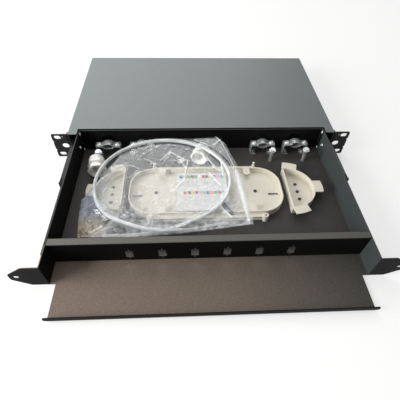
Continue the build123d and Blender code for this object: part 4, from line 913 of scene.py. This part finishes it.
def upper_film():
    """Height: a bump where the tube passes, a low level elsewhere, ridges from narrow bands of warped
    sine waves and tents over the folds, all drawn to nothing at the welded edges."""
    x, y, u, v = bag_grid(*UPPER_STEPS)
    angle = np.degrees(np.arctan2(y / LOOP_AXES[1], x / LOOP_AXES[0]))
    off = np.hypot(x / LOOP_AXES[0], y / LOOP_AXES[1]) - loop_share(angle)
    bump = np.exp(-(off * LOOP_MEAN / TUBE_TENT) ** 2)
    level = FLAT_LEVEL + INNER_LEVEL / (1 + np.exp(off * LEVEL_SLOPE))
    drawn = (1 - np.abs(2 * u - 1) ** SIDE_PULL) * (1 - v ** REAR_PULL)
    ridge = FOLD_RISE * fold_share(x, y)
    for a, b, c, height in CREASES:
        phase = a * x + b * y + c
        for swing, p, q, shift in CREASE_WARPS:
            phase += swing * np.sin(p * x + q * y + shift * c)
        ridge += height * np.exp(-(np.sin(phase / 2) / CREASE_BAND) ** 2)
    return laid(x, y, drawn * np.maximum(level + ridge * (1 - bump), TUBE_RISE * bump) + UPPER_LIFT)


def lower_film():
    """The flat film underneath, on the leaning plane."""
    x, y, u, v = bag_grid(*LOWER_STEPS)
    return laid(x, y, LOWER_LIFT + 0 * x)


# Clear limp film: see-through with thin bright glints, faintly hazy towards its front, with a white highlight
# painted along sharp folds, and with a cool and a warm tint in the glints at its left
FILM_COLOUR = "#f2f4f5"
GLINT_COLOURS = ("#c6d8fa", "#ffe0a8")
GLINT_PLACES = (-135 * MM, -170 * MM)    # in the shared frame, across the drawer
GLINT_SHARE = 0.6
HUE_PLACES = (-140 * MM, -162 * MM)      # and along it
HAZE_CLOUD = 14 * MM
HAZE_PLACES = (-100 * MM, -165 * MM)
HAZE_SHARES = (0.03, 0.17)
HAZE_LEAST = 0.01
HAZE_LOW, HAZE_HIGH = 0.35, 0.7
FOLD_START = 0.15
FOLD_HIGHLIGHT = 0.8
WAVE_CLOUD = 13 * MM
WAVE_RELIEF = 0.9 * MM
WAVE_BUMP = 0.5
FILM_GLOSS = 0.08
FILM_INDEX = 1.22            # the plastic has 1.5, matched down to the film's weak glints
SHINE_CAP = 0.22
MILK_GLOSS = 0.3

film, tree, place = new_material("clear_polyethylene_film")
haze = add_node(tree, "ShaderNodeTexNoise",
                {"Vector": place, "Scale": 1 / HAZE_CLOUD, "Detail": 5.0, "Distortion": 1.5})
fold = add_node(tree, "ShaderNodeAttribute", attribute_name="fold").outputs["Fac"]
axes = add_node(tree, "ShaderNodeSeparateXYZ", {0: place}).outputs
front = add_node(tree, "ShaderNodeMapRange",
                 {"Value": axes[1], "From Min": HAZE_PLACES[0], "From Max": HAZE_PLACES[1],
                  "To Min": HAZE_SHARES[0], "To Max": HAZE_SHARES[1]})
milky = add_node(tree, "ShaderNodeMapRange",
                 {"Value": haze.outputs[0], "From Min": HAZE_LOW, "From Max": HAZE_HIGH,
                  "To Min": HAZE_LEAST, "To Max": front.outputs[0]})
# Painted highlight: white along the sharp folds and the right weld
fold_highlight = add_node(tree, "ShaderNodeMapRange",
                    {"Value": fold, "From Min": FOLD_START, "To Max": FOLD_HIGHLIGHT})
amount = add_node(tree, "ShaderNodeMath", {0: milky.outputs[0], 1: fold_highlight.outputs[0]}, operation="MAXIMUM")
wave = add_node(tree, "ShaderNodeTexNoise",
                {"Vector": place, "Scale": 1 / WAVE_CLOUD, "Detail": 3.0, "Distortion": 1.0})
relief = add_node(tree, "ShaderNodeBump",
                  {"Height": wave.outputs[0], "Strength": WAVE_BUMP, "Distance": WAVE_RELIEF}).outputs[0]
passed = add_node(tree, "ShaderNodeBsdfTransparent")
hue = add_node(tree, "ShaderNodeMapRange",
               {"Value": axes[1], "From Min": HUE_PLACES[0], "From Max": HUE_PLACES[1]})
left = add_node(tree, "ShaderNodeMapRange",
                {"Value": axes[0], "From Min": GLINT_PLACES[0], "From Max": GLINT_PLACES[1],
                 "To Max": GLINT_SHARE})
tinted = add_node(tree, "ShaderNodeMix",
                  {0: hue.outputs[0], 6: srgb(GLINT_COLOURS[0]), 7: srgb(GLINT_COLOURS[1])}, data_type="RGBA")
glint = add_node(tree, "ShaderNodeMix",
                 {0: left.outputs[0], 6: srgb(FILM_COLOUR), 7: tinted.outputs[2]}, data_type="RGBA")
mirror = add_node(tree, "ShaderNodeBsdfGlossy",
                  {"Color": glint.outputs[2], "Roughness": FILM_GLOSS, "Normal": relief})
facing = add_node(tree, "ShaderNodeFresnel", {"IOR": FILM_INDEX, "Normal": relief})
shine = add_node(tree, "ShaderNodeMath", {0: facing.outputs[0], 1: SHINE_CAP}, operation="MINIMUM")
clear = add_node(tree, "ShaderNodeMixShader",
                 {0: shine.outputs[0], 1: passed.outputs[0], 2: mirror.outputs[0]})
milk = add_node(tree, "ShaderNodeBsdfPrincipled",
                {"Base Color": glint.outputs[2], "Roughness": MILK_GLOSS, "Normal": relief})
both = add_node(tree, "ShaderNodeMixShader", {0: amount.outputs[0], 1: clear.outputs[0], 2: milk.outputs[0]})
shadow = add_node(tree, "ShaderNodeLightPath").outputs["Is Shadow Ray"]
limp = add_node(tree, "ShaderNodeMixShader", {0: shadow, 1: both.outputs[0], 2: passed.outputs[0]})
add_node(tree, "ShaderNodeOutputMaterial", {"Surface": limp.outputs[0]})

bag = make_piece("film_kit_bag", [upper_film(), lower_film()], film, "drawer", "kit_bag")
spots = np.empty(3 * len(bag.data.vertices))
bag.data.vertices.foreach_get("co", spots)
spots = spots.reshape(-1, 3) / MM - np.array((*LOOP_CENTRE, 0.0))
fold_layer = bag.data.attributes.new("fold", "FLOAT", "POINT")
fold_layer.data.foreach_set("value", fold_share(spots[:, 0], spots[:, 1]))
wall = bag.modifiers.new("film", "SOLIDIFY")
wall.thickness = BAG_FILM * MM
